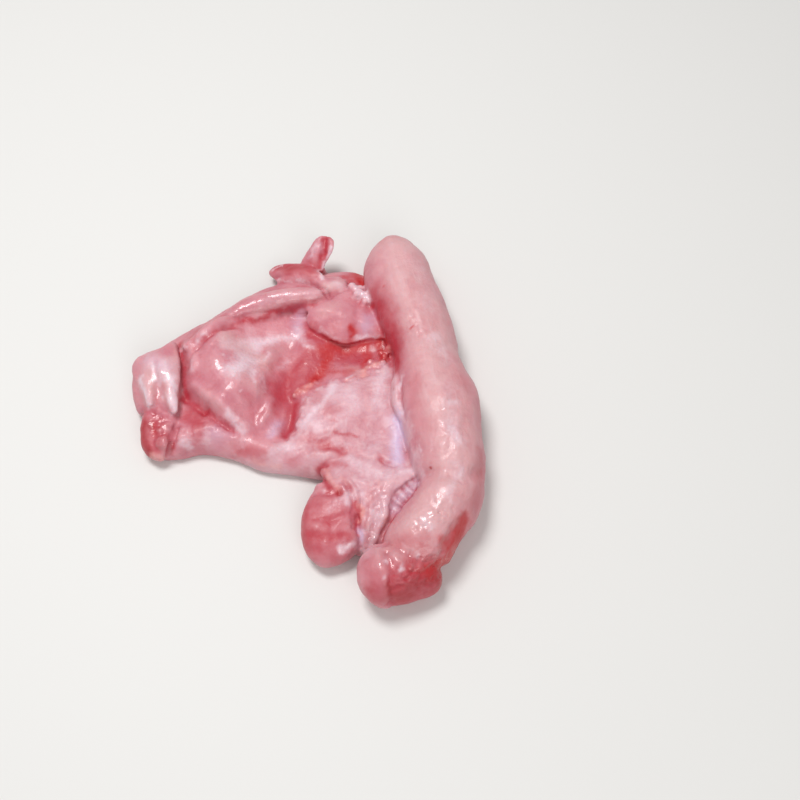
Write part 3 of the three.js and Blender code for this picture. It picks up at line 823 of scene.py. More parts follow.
# %% Silver: painted highlights and glints on milky, wet places, and the fat's own pale colour
stain("glint_and_fat", [
    ([(-65.5, 10.5, 15), (-62.5, 3.5, 15.5), (-60.5, -1.5, 14)], 1.5, 0.9),  # cuff
    ([(-60.5, 16, 17), (-59, 8.5, 16.5)], 1, 0.8),
    ([(-55.5, 16.5, 18), (-54, 8.5, 18)], 1.6, 0.7),
    ([(-51.5, 9.5, 18), (-51, 2.5, 17.5), (-50, -4.5, 15)], 2, 1),
    ([(-57, 6.5, 15.5), (-54.5, 0.5, 15)], 1, 0.5),
    ([(-57.5, 15, 18), (-56.5, 8, 17.5)], 1.6, 0.6),
    ([(-56, -12, 12)], 1.6, 0.3),  # knuckle
    ([(-45, 18, 16), (-44.5, 14.5, 15)], 1.3, 0.45),  # upright fold
    ([(-43, 27.5, 16)], 1.6, 0.7),
    ([(-27, 12.5, 19), (-24.5, 15, 18), (-22.5, 19.5, 15)], 5, 1),  # thigh
    ([(-31, 25, 18), (-27, 27, 15.5), (-23, 30, 13)], 3.4, 0.5),
    ([(-32, 19.5, 19)], 1.1, 0.7),
    ([(-19.5, 14.5, 15), (-18.5, 8, 16)], 1.2, 0.7),
    ([(-23, 3, 17)], 0.9, 0.9),
    ([(-28, -6, 16), (-24.5, -10, 13), (-21.5, -12, 12.5)], 2.2, 0.7),
    ([(-22.5, 36, 12)], 3, 0.35),  # between the thigh and the top fold
    ([(-20, 28.5, 12), (-17, 31, 11), (-14, 33, 10)], 3.4, 0.9),
    ([(-13, 32.5, 10), (-6.5, 33.5, 9.5), (-3, 34.5, 9.5)], 1.6, 0.7),
    ([(-2.5, 38, 9.5), (-0.5, 32.5, 10)], 3, 0.45),
    ([(-15.5, 12.5, 14), (-14, 7, 13)], 2, 0.4),  # ripples
    ([(-13, 25, 11.5), (-15.5, 21, 12)], 1.1, 0.6),
    ([(-12, 2, 11.5), (-13, -4, 12), (-15.5, -8, 12)], 1.5, 0.2),
    ([(-6, 23.5, 9), (-9, 19, 9)], 2, 0.35),
    ([(-36, -11.5, 11.5), (-36.5, -15.5, 9.5)], 2.4, 0.5),  # lower ridge
    ([(-45.5, -16, 10), (-43.5, -17, 8)], 2.2, 0.7),
    ([(-21.5, -15, 11), (-23, -17.5, 10)], 1.8, 0.3),
    ([(7, 51.4, 18), (-1, 50.4, 19), (-9, 49.4, 18.5), (-17.5, 47, 17)], 2, 0.35),  # top fold
    ([(-50, 26.5, 13), (-47.5, 25.4, 15)], 1, 0.8),  # its tail
    ([(-41, 29.5, 18), (-39, 30.5, 18.5)], 0.9, 0.7),
    ([(5, 67.5, 12), (8, 61.5, 14)], 1.2, 0.9),  # curl
    ([(-12, 65, 7.6), (-7, 63, 9.6)], 0.9, 0.6),
    ([(-4, 62.4, 11), (1.5, 61, 11.6)], 0.8, 0.7),
    ([(-16, 72, 6.5), (-10.5, 72.5, 8.5)], 0.8, 0.7),
    ([(12, 76.5, 17.5), (10.2, 73, 15), (7.8, 69, 12.5)], 1.1, 0.9),  # leaf
    ([(4.5, 77.5, 17), (2, 73.5, 14)], 1.6, 0.6),
    ([(13.5, 58.5, 14.5), (16, 57.5, 13.5)], 2.4, 0.6),  # end cap
    ([(7.5, 36, 13.5), (13, 32.5, 13), (17.5, 31, 13)], 1, 0.5),  # flap
    ([(21, 31.5, 12.5), (27, 33.5, 12.5), (34.5, 33, 13)], 0.9, 0.8),
    ([(29, 29, 8.5)], 1.5, 0.7),  # hollow
    ([(0.5, 29, 10), (4, 28.5, 10)], 1, 0.7),
    ([(19, 12.5, 11.5), (21.5, 13.5, 11.5)], 1.3, 0.8),  # torn edge
    ([(6.5, 11, 10)], 0.9, 0.8),
])
# Mostly painted glints: on the membrane, the loin, the foot, the strip and the lobe.
stain("glint_and_fat", [
    ([(14.5, 9.5, 12), (9.5, 0, 13), (4, -5.5, 13), (2, -10, 12)], 1.7, 0.7),  # membrane
    ([(7, -10.5, 13), (8.5, -14.5, 12)], 4, 0.4),
    ([(-3, -18.5, 10.5), (-10, -21.5, 10)], 1.8, 0.6),
    ([(15.5, -18, 12.5), (20.5, -18.5, 12)], 2, 0.5),
    ([(36, 17.5, 12), (32, 8, 14), (32.5, -1.5, 13.5)], 2.6, 0.6),
    ([(14, 7, 13), (19, 4.5, 14), (24, -0.5, 14.5)], 4, 0.4),
    ([(30, 13, 12), (37, 3, 14)], 3, 0.4),
    ([(22, -26, 11.5), (30, -31, 14), (37.5, -33.5, 15)], 3, 0.55),
    ([(41.5, -31, 15), (45, -31, 14.5)], 2.2, 0.8),
    ([(42, 7, 22), (41, 4, 20)], 1.2, 0.8),  # the loin's lip
    ([(40.5, -4, 19), (42, -7.5, 18.5)], 1.2, 0.6),
    ([(48, 61, 26.5), (53, 50, 25.5), (53, 38, 27)], 6, 0.3),  # loin
    ([(55.5, 23.5, 27), (52.5, 21.5, 28)], 2.4, 0.5),
    ([(57.5, 19, 26.5)], 4, 0.25),
    ([(57.5, 16, 27.5), (61, 11, 26.5)], 3, 0.35),
    ([(60.5, -2, 30), (60.5, -8.5, 29.5), (61.5, -15, 29)], 4, 0.35),
    ([(60.5, -9, 29.5), (62.5, -9, 29)], 1.6, 0.5),
    ([(60.5, -19, 28.5), (63, -25.5, 29)], 3.4, 0.5),
    ([(61, -20, 28.5), (63.5, -25.5, 28.5)], 1.4, 0.5),
    ([(48, -24, 22.5), (48.5, -27, 22.5)], 0.7, 0.7),
    ([(52.5, -24.5, 27), (53, -29.5, 26.5)], 0.8, 0.4),
    ([(51, -36.5, 20.5)], 4, 0.3),
    ([(62, -35, 26.5), (64.5, -38.5, 25)], 3, 0.4),
    ([(64, -36, 26), (59, -48, 27.5)], 1.4, 0.5),
    ([(59, -46, 27.5), (60, -51.5, 26.5)], 4, 0.2),
    ([(49.5, -57.5, 26), (52.5, -60, 26)], 2, 0.6),
    ([(36, -72.5, 22)], 1.1, 0.9),  # foot
    ([(41, -74.5, 22)], 1.5, 0.8),
    ([(34.5, -78, 21), (35.5, -77.5, 21)], 0.8, 0.6),
    ([(47, -70, 21)], 1.2, 0.6),
    ([(56.5, -68.5, 17.5)], 1.6, 0.5),
    ([(46.5, -37.5, 13), (42, -41, 12.5), (38.6, -46, 12)], 3, 0.45),  # ribbed patch
    ([(30.5, -48, 13), (33.5, -49, 13)], 1.2, 0.6),  # strip
    ([(31.5, -51, 11.5)], 2, 0.4),
    ([(34.5, -42.5, 14.5)], 1.4, 0.6),
    ([(27, -40.5, 13)], 1.2, 0.6),
    ([(20.5, -40.5, 14), (21, -44.5, 14)], 1.8, 0.7),  # lobe
    ([(23.5, -41, 14), (24, -44, 13.5)], 1, 0.6),
    ([(11.5, -39, 13)], 1.1, 0.9),
    ([(14, -47.5, 14), (19, -43.5, 14.5)], 2.4, 0.35),
    ([(22, -52.5, 12.5)], 1.6, 0.3),
    ([(19, -62, 11), (23, -60.5, 10)], 1.6, 0.8),
    ([(18, -63, 11)], 0.9, 0.8),
])
# The fat beads' own pale colour.
stain("glint_and_fat", [([bead], 1.8, 0.8) for bead in FAT_BEADS])

# %% Deep rose: flushed muscle, and painted shade in creases and furrows and under folds and flaps
stain("rose", [
    # beside the cuff: painted shade in the crease by the cuff's wall
    ([(-51.6, 29, 12), (-48.6, 16, 11), (-47, 5, 9)], 2.6, 0.8),  # beside the cuff
    ([(-57.5, 0.5, 14.5)], 1.6, 0.35),  # cuff
    ([(-63, -6.5, 10), (-63, -12, 9), (-61.5, -16, 8.5), (-59, -20, 7)], 3.4, 1),  # knuckle
    ([(-57, -8, 12), (-54.5, -17, 11.5)], 4.4, 0.8),
    # painted shade under the thigh's lip
    ([(-47, 4.6, 9), (-43, 1.2, 9), (-38.5, -2.6, 9.5)], 2, 0.75),  # below the thigh's lip
    ([(-38.5, -2.6, 9.5), (-33, -6.8, 11), (-27, -11, 11)], 1.6, 0.75),
    ([(-44, -3, 10), (-39, -7, 10.5), (-34, -10, 11.5)], 3, 0.5),
    ([(-46, -6, 11), (-42, -10.5, 12), (-38, -13, 11.8)], 3, 0.5),
    ([(-45, -2.5, 10), (-41.5, -7, 11), (-40, -12, 12), (-35, -11, 12)], 3.4, 0.6),
    ([(-23, -19, 8.5), (-14, -21, 10)], 3, 0.6),  # lower rim
    ([(1.5, -24, 9.5), (-3, -24.5, 9)], 3, 0.5),
    ([(-20, 2, 14), (-18.5, -6, 12)], 3, 0.35),  # end of the thigh
    # painted shade between the ripples and in the furrow
    ([(-10, 22, 9.5), (-12.5, 14, 10), (-12, 7, 10)], 2.4, 0.2),  # between the ripples
    ([(-7.5, 5, 8.5), (-9.5, -2.5, 10)], 3, 0.5),  # furrow
    ([(-2.5, 1, 9), (-3, -6, 9), (-5, -12, 9)], 2.8, 0.9),
    ([(3.5, 25, 10), (-4, 16, 8.5), (-7.5, 8, 8.5)], 7, 0.85),
    ([(4, 18, 9), (2, 10, 9)], 4, 0.6),  # hollow
    ([(11.5, 27, 9), (18, 25, 8.5), (25, 25, 10)], 6, 0.8),
    # painted shade under the flap's rim
    ([(4, 36, 10), (13, 30, 9.5), (20, 28.4, 9), (27, 30.4, 9.5), (34, 32, 9)], 3, 1),  # flap's rim
    ([(1.5, 41, 10), (4, 35.5, 10)], 2, 0.8),
    ([(24, 48.4, 14)], 2, 0.5),  # between the flap and the fat beads
    # painted shade under the long fold and beside the end cap
    ([(-45, 30, 14), (-38, 38, 12), (-28, 41, 12)], 4, 0.4),  # below the top fold
    ([(-41, 26.5, 17.5), (-35.5, 31.5, 18.5), (-29, 36.5, 15), (-23, 41, 12.5)], 1.6, 0.6),
    ([(-24, 40.6, 13), (-17.5, 42.4, 13), (-9, 45.4, 13.5), (-3.5, 46.5, 13.5), (3, 47, 14)], 1.3, 0.9),
    ([(-7.5, 46, 15), (1, 47.5, 16), (8, 49, 15.5)], 2, 0.5),
    ([(6, 55.5, 16.5), (7.5, 53.5, 17.5), (9, 51.8, 17)], 0.8, 0.8),  # beside the end cap
    ([(-14, 73, 7), (-7, 69.5, 11), (-1, 68, 13.5), (3, 65, 14)], 4.4, 1),  # curl
    ([(9.4, 80, 18.5), (9, 76, 17), (7.4, 72, 14), (6, 69.5, 12.5)], 2.8, 1),  # leaf
    ([(15, -14, 13), (21, -14, 12.5), (24.5, -14.5, 12.5)], 1, 0.7),  # lines in the membrane
    ([(13, -9, 13.5), (15.5, -8.5, 14)], 1, 0.6),
    ([(32.5, -23.5, 12), (36.5, -27, 14)], 1, 0.7),
    ([(6, -15.5, 12), (11.5, -18.5, 12), (17.5, -19.5, 12)], 3.6, 0.75),  # flushes below it
    ([(11.5, -19.5, 12), (19.5, -22, 11.5)], 2.2, 0.5),
    ([(12, -27, 10.5), (19.5, -28, 11)], 2, 0.7),
    ([(1, -16, 11.5)], 2.4, 0.35),
    ([(24, -9, 14), (28, -2, 14)], 4, 0.25),
    ([(8, 3, 12), (13, -3, 13)], 3, 0.3),
    ([(17, -4, 14), (11, -4, 14)], 4, 0.2),
])
stain("rose", [
    ([(10, -28, 8.5), (12, -33.5, 11), (14, -39, 12)], 2.2, 0.9),  # roll
    # painted shade in the groove between the lobe and the strip
    ([(24, -44, 13), (25, -49, 11.5), (24.8, -54.5, 9)], 1.6, 1),  # between the lobe and the strip
    ([(6, -56, 12), (14, -58.6, 12.5), (21, -57.5, 12.5)], 2.4, 0.8),  # lobe
    ([(7.5, -62, 11), (13, -65.5, 10), (20, -66, 8)], 4, 0.5),
    ([(8, -51.5, 13), (14, -52, 13.5)], 1.6, 0.4),
    ([(8, -43, 12), (11, -43.5, 13.5)], 3, 0.4),
    ([(13, -55, 12), (14, -46, 12)], 11, 0.6),
    ([(10, -50.5, 13), (20, -49.5, 13)], 3, 0.3),
    ([(4.5, -45, 10), (4.4, -52, 10), (5, -60, 9)], 3.2, 0.9),
    ([(22, -37.5, 14), (20, -35, 13.5)], 2.4, 0.5),
    ([(29.5, -40.5, 14), (29, -47, 13), (28, -53, 12)], 1.5, 0.5),  # strip
    ([(28.5, -57, 10.5), (28, -60, 9)], 1.4, 0.5),
    # painted shade in the groove between the strip and the loin
    ([(46, -41, 12), (39, -48.6, 12), (35.6, -54.5, 12), (33, -60, 12), (31, -65, 12)], 2, 1),
    # the loin's left side: blood, and painted shade where it faces the leg
    ([(37, 28.5, 17), (38.5, 22.5, 16), (40, 15.5, 18)], 3.6, 1),  # loin's left side
    ([(29.5, 50, 15), (33.5, 40, 17), (36, 31.5, 17)], 3.4, 1),
    ([(32, 50, 21), (37, 37, 22), (40, 24, 21)], 4.5, 0.5),
    ([(47, 4.5, 27.5), (47, -6.5, 26.5)], 3, 0.3),
    ([(48, 78, 19), (43, 79, 20), (34.5, 77, 22)], 5, 0.4),  # its far end
    ([(66, 4, 26), (67, -2, 26)], 3, 0.35),  # its right side
    ([(72, -28, 21), (72, -37.5, 18.5), (69.5, -48.5, 19)], 4, 0.5),
    ([(51, -65, 24), (41, -64, 21)], 5, 0.45),  # foot
    ([(37, -72.5, 22)], 6, 0.3),
    ([(28.5, -72, 20), (31, -77, 20), (33, -82, 17)], 5, 0.45),
    ([(45, -72.5, 21), (50, -69, 20.5)], 3, 0.5),
    ([(37.5, -81.5, 16), (34, -84, 14), (29.5, -81, 15)], 3.4, 0.6),
    ([(39.5, -78.5, 19), (42, -82.5, 14)], 5, 0.9),
    ([(43, -76, 20), (49, -76, 17), (55, -72, 15), (60, -66, 13), (63, -60, 14)], 4.4, 1),
    ([(44, -84, 10), (52, -80, 9), (58, -74, 8)], 5, 0.8),
])

# %% Blood: pools and seeping cuts
stain("blood", [
    ([(10.5, 25, 9), (9, 18, 8.5), (5.5, 12.5, 9.5)], 3, 1),  # hollow
    ([(7, 28, 9.5), (10, 26, 9)], 2.4, 0.6),
    ([(14, 16.5, 9.5), (20.5, 17, 10.5)], 2.6, 0.6),
    ([(27, 30, 9), (26.5, 24, 8.5), (25.5, 20, 10)], 2, 0.8),
    ([(32, 32, 9), (33.5, 27.5, 8.5), (33.5, 22.5, 9.5)], 2.6, 1),
    # along the flap's rim: blood, deepened as painted shade
    ([(11.5, 29.6, 9.5), (18, 28, 9), (24.5, 29.6, 9)], 2.4, 0.9),
    ([(-1, 6, 9.5), (2.5, 8.5, 10.5)], 1.6, 0.6),  # torn edge
    ([(20, 35.5, 15.5), (21, 33, 14)], 2.2, 1),  # the flap's cut
    ([(21.5, 68, 7), (24.5, 62, 9.5)], 3.4, 1),  # behind the flap
    ([(17, 66.5, 9), (19.5, 61.5, 10.5)], 2, 0.5),
    ([(31, 46, 15), (34, 38.5, 16)], 1.8, 0.7),  # between the flap and the loin
    ([(36, 31, 13), (36, 27, 9)], 1.4, 0.8),
    # foot
    ([(65, -54, 17), (62, -60, 18), (60.5, -65, 14), (57, -69.5, 12.5), (52.5, -73.5, 16)], 3.6, 1),
    ([(56, -63.5, 22), (58.5, -64.5, 19)], 2, 0.6),
    ([(44, -74.5, 21), (50.5, -73.5, 17)], 2, 0.5),
    ([(17.3, -40.8, 13)], 1.6, 0.7),  # the roll's eye
    ([(45.5, 27, 26.5), (46.5, 27.5, 27.5)], 0.8, 0.9),  # loin
    ([(34.5, 49.5, 25)], 0.8, 0.6),
    ([(-58, -9, 11.5), (-57.5, -12.5, 10.5)], 1.6, 0.6),  # knuckle
    ([(48, -38.6, 13)], 1.5, 1),  # beside the ribs
    ([(26.5, -60, 5)], 1, 0.6),  # between the lobe and the strip
])

# %% Dark red: cut flesh, with painted shade under the flap, below the loin's lip and between the strip and the loin
stain("dark", [
    # painted shade under the flap's edge
    ([(8, 34, 10.5), (12.5, 31, 9.5), (18, 29, 9)], 1.3, 0.7),  # under the flap
    ([(35, 31.5, 10), (36, 27, 8.5)], 1.4, 0.6),
    ([(45, -79.5, 16), (50.5, -77.5, 15), (55, -76, 12.5)], 4, 0.6),  # foot
    ([(37.5, -82, 16), (41, -83, 12.5)], 4, 0.5),
    ([(37, -75.5, 21), (37, -81.5, 17)], 1, 0.6),
    ([(-62.5, -9, 10.5), (-62, -14.5, 9.5), (-60.5, -19, 8)], 2.8, 0.6),  # knuckle
    ([(-50, -16, 9), (-50.8, -19, 8)], 1.2, 0.7),
    ([(-59.4, -8, 11.5), (-58.8, -10.5, 11)], 1.4, 0.5),
    ([(-12, 70.5, 8.5), (-7, 69.4, 11.5), (-1.5, 69, 13)], 2, 0.45),  # curl
    ([(52.5, -34.5, 24)], 0.7, 1),  # loin
    # painted shade below the loin's lip and between the strip and the loin
    ([(39, 10.5, 17), (39, 3, 18)], 0.9, 0.6),  # below the loin's lip
    ([(39, -50.5, 8), (36, -54, 8)], 1.2, 0.6),  # between the strip and the loin
])

# %% Lilac: where dark flesh shows through a membrane
stain("lilac", [
    ([(40, -8, 14.5), (40.5, -14.5, 13), (39.8, -20.5, 13), (39.8, -26.5, 14)], 2.8, 1),  # membrane
    ([(27.5, 41.5, 14), (26.5, 36, 13.5)], 2.8, 0.45),  # flap
    ([(-1.5, 43.5, 9.5), (-3, 37.5, 9.5)], 3, 0.4),  # beside the flap
    ([(46.5, -37.5, 13), (42, -41, 12.5), (38.6, -46, 12)], 3, 0.45),  # ribbed patch
    ([(26, -55, 9), (26, -57.5, 8)], 1.5, 1),  # strip
    ([(-8.5, -8.5, 9.5), (-11, -13, 10)], 2, 0.5),  # below the ripples
    ([(-33, -13.5, 10.5)], 4, 0.35),  # lower ridge
    ([(-61.5, 18, 17), (-55, 14.5, 18.5)], 4, 0.3),  # cuff
])

# %% Salmon: raw edges
stain("salmon", [
    ([(12, -30, 11), (13.8, -33, 12), (15.4, -37, 13), (17, -39.4, 13)], 1.7, 0.6),  # roll
    ([(18, -34.5, 14), (21, -36.5, 14)], 1.2, 0.5),
    ([(26, -46, 12.5), (25.5, -51, 11)], 1.4, 0.8),  # strip
    ([(38.4, -41.4, 14), (36.8, -46, 13.5), (34.5, -53, 11)], 1.2, 0.5),
    ([(33.5, -36, 15), (39.5, -36, 15), (45, -34.5, 14.5)], 2.4, 0.4),
    ([(-1, 7, 9.5), (1.5, 6.5, 10.5), (3.5, 10, 10), (5, 12.5, 9.5)], 1.8, 0.5),  # torn edge
    ([(25.5, 13.5, 11.5), (27, 18, 10.5), (31, 20, 10.5)], 2, 0.5),
    ([(18.5, 11.5, 11.5), (22.5, 12, 12.5)], 1.6, 0.4),
    ([(29, 29, 8.5)], 1.6, 0.6),  # hollow
    ([(27, 3, 14.5), (28.5, -4, 13.5)], 1.4, 0.4),  # membrane
    ([(9.5, 43, 16.5), (16, 40, 16.5), (13, 36, 15)], 5, 0.3),  # flap
    ([(-58.5, -20.5, 7), (-55, -22, 6.5)], 2, 0.7),  # knuckle
    ([(-53, 26, 15.5), (-51.5, 20.5, 16.5)], 1.2, 0.5),  # cuff
    # lower rim: a painted warm reflection along the front edge
    ([(-17, -23, 7.5), (-7, -26, 6)], 1.6, 0.5),  # lower rim
])
stain("salmon", [([(x, y, z + r)], r, 0.8) for x, y, z, r in TEAR_BEADS])

# %% Red grooves between the ribs
ribbed_red = ribbed * np.clip(0.4 - rib_wave, 0, 1)
stains["rose"] = np.maximum(stains["rose"], 0.7 * ribbed_red)
stains["glint_and_fat"] = np.maximum(stains["glint_and_fat"] - 0.7 * ribbed_red, 0)

# %% Wet: where the light glances off
stain("wet", [
    ([(-33, 20, 19), (-25, 8, 19), (-18, -8, 14)], 14, 0.5),  # thigh
    ([(-24, 15, 20), (-14, 28, 17), (-3, 34, 15)], 6, 0.6),
    ([(-62, 18, 17), (-53, 2, 17)], 9, 0.5),  # cuff
    ([(-57, -8, 13), (-54, -16, 13)], 5, 0.5),  # knuckle
    ([(-42, -15, 11), (-30, -15, 12)], 5, 0.25),  # lower ridge
    ([(-30, 44, 13), (-8, 50, 17), (4, 51, 17)], 5, 0.6),  # top fold
    ([(24, 55, 15), (28, 49, 15)], 4, 0.6),  # fat beads
    ([(10, 20, 10), (32, 24, 12)], 9, 0.6),  # hollow
    ([(19, -62, 11), (23, -60, 10)], 3, 0.8),  # lobe
    ([(12, -40, 13), (20, -40, 14)], 4, 0.4),
    ([(34, -40, 13), (30, -55, 10), (28, -62, 8)], 4, 0.5),  # strip
    ([(32, -70, 19), (46, -72, 18), (58, -66, 14)], 9, 0.6),  # foot
    ([(42, -55, 21), (52, -48, 26), (64, -42, 25)], 7, 0.25),  # loin
    ([(61, -6, 29), (61, -22, 28), (63, -36, 26)], 5, 0.45),
    ([(58, -50, 27), (50, -59, 25)], 4, 0.5),
])

# %% [markdown]
# ## Creases and ridges
# A point whose neighbours lie further out than itself is in a crease, and one that stands
# out from them is on a ridge. Creases get a deep red, partly for the blood that gathers there
# and partly as painted shade, and ridges get a little painted sheen. Blender's baked cavity
# maps show the same, but they are images, and a mask on the points needs none. One more number
# gives the direction of the fibres: the distance from the loin's crest on the loin, and from
# the torn edge everywhere else.

# %% Creases, ridges and fibres
ROUNDS = 40  # how often a point is mixed with its neighbours
FULL_CREASE = 0.7  # depth at which a crease has its full colour, mm
LOIN_WIDTH = 16
normals = skin_normals()
depth = np.zeros(COUNT)
for axis in range(3):
    depth += (averaged(points[:, axis], ROUNDS) - points[:, axis]) * normals[:, axis]
# Creases: deep red for blood, and painted shade.
stains["crease_blood_and_shade"] = np.clip(depth / FULL_CREASE, 0, 1)
# Ridges: a painted sheen.
stains["ridge"] = np.clip(-depth / FULL_CREASE, 0, 1)
on_loin = near(points, LOIN_CREST, LOIN_WIDTH) > 0.35
stains["grain"] = np.where(on_loin, distance(points, LOIN_CREST), from_tear)
for kind, values in stains.items():
    layer = mesh.attributes.new(kind, "FLOAT", "POINT")
    layer.data.foreach_set("value", values)
    print(kind, "from", round(values.min(), 2), "to", round(values.max(), 2))

# %% [markdown]
# ## Into the frame
# The mesh is drawn in millimetres, so its points are scaled and moved, and the object itself
# stays at the origin, unturned.

# %% Put the meat in the frame
placed_points = (skin_points() - np.array(MIDDLE)) * MM
mesh.vertices.foreach_set("co", placed_points.ravel())
mesh.update()
mesh.shade_smooth()
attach(meat, "root")
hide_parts("boneless_rabbit_meat")
print("triangles:", sum(len(face.vertices) - 2 for face in mesh.polygons))

# %% [markdown]
# ## The finish of raw meat
# Light goes a little way into meat and comes back red, so the shader has subsurface
# scattering. A thin coat makes it wet. The colour starts as muscle and each mask mixes its
# own colour in, broken up by noise. A photograph wrapped round the mesh would be quicker, but
# it would smear on the sides and bring its own light along.

# %% A material with masks
material = bpy.data.materials.new("raw_meat")
material.use_nodes = True
tree = material.node_tree
shader = tree.nodes["Principled BSDF"]


def connect(socket, value):
    """Links another node's output to an input, or gives it a plain value."""
    if isinstance(value, bpy.types.NodeSocket):
        tree.links.new(value, socket)
    elif isinstance(value, tuple) and len(socket.default_value) == 4:
        socket.default_value = (*value, 1)
    else:
        socket.default_value = value


def add(kind, **inputs):
    """A new node of that kind with its inputs set or linked."""
    made = tree.nodes.new(kind)
    for name, value in inputs.items():
        connect(made.inputs[name.replace("_", " ")], value)
    return made


def mask(kind):
    """The mask of that name, as it was stored on the skin's points."""
    made = tree.nodes.new("ShaderNodeAttribute")
    made.attribute_name = kind
    return made.outputs["Fac"]


def calculate(operation, a, b, clamp=True):
    """A sum, difference or product, kept between 0 and 1 unless clamp is off."""
    made = tree.nodes.new("ShaderNodeMath")
    made.operation = operation
    made.use_clamp = clamp
    connect(made.inputs[0], a)
    connect(made.inputs[1], b)
    return made.outputs[0]


def contrast(value, low, high, dark=0.0, light=1.0):
    """The range from low to high stretched smoothly to dark to light."""
    made = tree.nodes.new("ShaderNodeMapRange")
    made.interpolation_type = "SMOOTHSTEP"
    for socket, number in zip(made.inputs, (value, low, high, dark, light)):
        connect(socket, number)
    return made.outputs[0]


def blended(colour, other, share):
    """Colour with another mixed in by a share."""
    made = tree.nodes.new("ShaderNodeMix")
    made.data_type = "RGBA"
    for number, value in ((0, share), (6, colour), (7, other)):
        connect(made.inputs[number], value)
    return made.outputs[2]


PER_MM = 1 / MM
place = add("ShaderNodeTexCoord").outputs["Object"]


def cloud(size, detail, vector=place):
    """Noise with features of that size in mm."""
    made = add("ShaderNodeTexNoise", Vector=vector, Scale=PER_MM / size, Detail=detail)
    return made.outputs["Fac"]


SQUEEZE = 0.14  # the fibres' noise is this much longer along them than across
cloudy = cloud(14, 3.0)
mottled = cloud(3.4, 4.0)
speckled = cloud(1.3, 3.0)
apart = tree.nodes.new("ShaderNodeSeparateXYZ")
connect(apart.inputs[0], place)
fibre_space = add(
    "ShaderNodeCombineXYZ",
    X=calculate("MULTIPLY", mask("grain"), MM, clamp=False),
    Y=calculate("MULTIPLY", apart.outputs[0], SQUEEZE, clamp=False),
    Z=calculate("MULTIPLY", apart.outputs[1], SQUEEZE, clamp=False),
)
fibrous = cloud(2.2, 4.0, fibre_space.outputs[0])
print("noise and fibres:", len(tree.nodes), "nodes")


# %% The colours
def ragged(kind, pattern, amount, low, high):
    """A mask whose edge is broken up by a pattern."""
    shifted = calculate("SUBTRACT", pattern, 0.5, clamp=False)
    shifted = calculate("MULTIPLY", shifted, amount, clamp=False)
    return contrast(calculate("ADD", mask(kind), shifted, clamp=False), low, high)


FLESH, FLESH_PALE, FLESH_RED = (0.56, 0.17, 0.215), (0.65, 0.26, 0.30), (0.54, 0.13, 0.165)
SKIN, SKIN_DEEP, SKIN_MILKY = (0.67, 0.36, 0.375), (0.62, 0.28, 0.30), (0.70, 0.43, 0.45)
FILM, FILM_DEEP, FILM_MILKY = (0.66, 0.36, 0.41), (0.61, 0.27, 0.31), (0.74, 0.50, 0.54)
FILM_RED = (0.58, 0.23, 0.27)
# Of these colours, the one for creases is blood and painted shade, the one for ridges a painted sheen,
# and the silvery one painted glints and the fat's own colour.
STAIN_COLOURS = {
    "crease_blood_and_shade": (0.45, 0.07, 0.10), "rose": (0.46, 0.025, 0.045), "salmon": (0.76, 0.33, 0.31),
    "ridge": (0.74, 0.52, 0.55), "lilac": (0.65, 0.48, 0.64), "glint_and_fat": (0.79, 0.60, 0.665),
    "blood": (0.50, 0.012, 0.016), "dark": (0.34, 0.012, 0.016),
}
flesh = blended(FLESH, FLESH_PALE, contrast(cloudy, 0.35, 0.65))
flesh = blended(flesh, FLESH_RED, contrast(mottled, 0.5, 0.75, 0, 0.5))
silverskin = blended(SKIN, SKIN_DEEP, contrast(cloudy, 0.45, 0.65))
silverskin = blended(silverskin, SKIN_MILKY, contrast(fibrous, 0.5, 0.75, 0, 0.6))
film = blended(FILM, FILM_DEEP, contrast(cloudy, 0.42, 0.6))
film = blended(film, FILM_MILKY, contrast(mottled, 0.45, 0.75, 0, 0.7))
film = blended(film, FILM_RED, contrast(fibrous, 0.5, 0.75, 0, 0.5))
colour = blended(flesh, silverskin, ragged("pale", mottled, 0.5, 0.05, 1.05))
colour = blended(colour, film, ragged("film", mottled, 0.8, 0.1, 0.9))

# %% The stains' colours, from the first one mixed in to the last
shares = {
    "crease_blood_and_shade": calculate("MULTIPLY", mask("crease_blood_and_shade"), 0.4),
    "rose": ragged("rose", mottled, 0.35, 0, 1.1),
    "salmon": ragged("salmon", speckled, 0.4, 0.1, 1.1),
    "ridge": calculate("MULTIPLY", mask("ridge"), 0.2),
    "lilac": mask("lilac"),
    "glint_and_fat": ragged("glint_and_fat", speckled, 0.5, 0, 1.25),
    "blood": ragged("blood", mottled, 0.5, 0, 1.1),
    "dark": ragged("dark", mottled, 0.4, 0.05, 1.05),
}
for kind, share in shares.items():
    colour = blended(colour, STAIN_COLOURS[kind], share)
connect(shader.inputs["Base Color"], colour)
print("colours mixed from", 3 + len(shares), "layers")

# %% [markdown]
# ## Wetness and fine grain
# Wet places are smoother and have more of the clear coat, so one mask drives both. Three bump
# nodes in a row, each passing its result to the next, add specks, ripples and fibres that
# are too fine for the mesh.

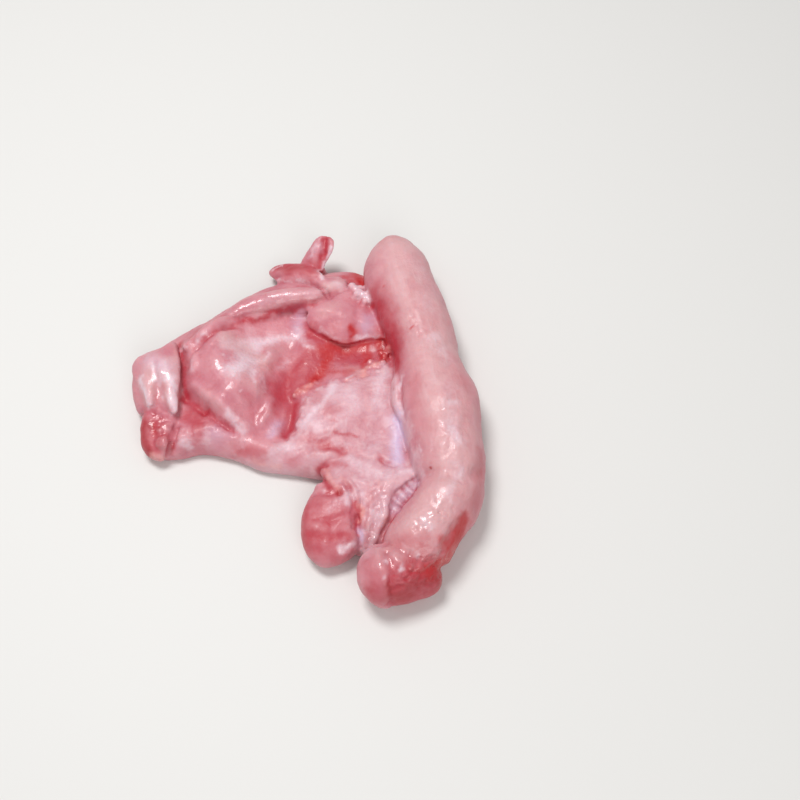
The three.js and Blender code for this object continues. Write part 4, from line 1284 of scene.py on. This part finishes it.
# %% Wetness and fine grain
DULL, GLOSSY = 0.5, 0.26  # roughness of the drier and of the wetter places
DRY_COAT, WET_COAT = 0.08, 0.6
wetness = ragged("wet", mottled, 0.8, 0.1, 0.8)
connect(shader.inputs["Roughness"], contrast(wetness, 0, 1, DULL, GLOSSY))
connect(shader.inputs["Coat Weight"], contrast(wetness, 0, 1, DRY_COAT, WET_COAT))
shader.inputs["Coat Roughness"].default_value = 0.1
bumps = {}
for height, strength, deep in ((speckled, 0.6, 0.3), (mottled, 0.5, 0.6), (fibrous, 0.4, 0.3)):
    bump = add("ShaderNodeBump", Height=height, Strength=strength, Distance=deep * MM, **bumps)
    bumps = {"Normal": bump.outputs[0]}
connect(shader.inputs["Normal"], bump.outputs[0])
shader.inputs["Subsurface Weight"].default_value = 0.25
shader.inputs["Subsurface Radius"].default_value = (1, 0.35, 0.25)
shader.inputs["Subsurface Scale"].default_value = 2 * MM
mesh.materials.clear()
mesh.materials.append(material)
print("raw meat:", len(tree.nodes), "nodes and", len(tree.links), "links")

# %% [markdown]
# ## Studio
# A pale table top and soft light from above. A big round lamp over the piece draws the
# glints on the wet places, a weaker one in front fills the shadows, and a pale world lights
# what the lamps don't reach. A sun lamp would give hard shadows, which raw meat on a white
# table doesn't have indoors.

# %% Table
TABLE_REACH = 3  # metres from the middle to an edge
table_shape = bmesh.new()
bmesh.ops.create_grid(table_shape, x_segments=1, y_segments=1, size=TABLE_REACH)
table_mesh = bpy.data.meshes.new("table_top")
table_shape.to_mesh(table_mesh)
table_shape.free()
table = bpy.data.objects.new("table_top", table_mesh)
bpy.context.scene.collection.objects.link(table)
table_material = bpy.data.materials.new("pale_table")
table_material.use_nodes = True
table_shader = table_material.node_tree.nodes["Principled BSDF"]
table_shader.inputs["Base Color"].default_value = (0.74, 0.73, 0.71, 1)
table_shader.inputs["Roughness"].default_value = 0.6
table_mesh.materials.append(table_material)
print("table", [round(side, 1) for side in table.dimensions])


# %% Lights
def soft_light(name, place, size, power):
    """A round lamp at a place, turned towards the middle of the piece."""
    data = bpy.data.lights.new(name, "AREA")
    data.shape = "DISK"
    data.size = size
    data.energy = power
    light = bpy.data.objects.new(name, data)
    bpy.context.scene.collection.objects.link(light)
    light.location = place
    light.rotation_euler = (-Vector(place)).to_track_quat("-Z", "Y").to_euler()


soft_light("overhead", (-0.2, 0.2, 0.9), size=0.35, power=5.6)
soft_light("front_fill", (0.3, -0.9, 0.7), size=0.8, power=3.6)
world = bpy.data.worlds.new("studio")
bpy.context.scene.world = world
world.use_nodes = True
world.node_tree.nodes["Background"].inputs["Color"].default_value = (1, 1, 1, 1)
world.node_tree.nodes["Background"].inputs["Strength"].default_value = 0.45
bpy.context.scene.view_settings.view_transform = "Standard"
print("lamps:", [light.name for light in bpy.data.lights])
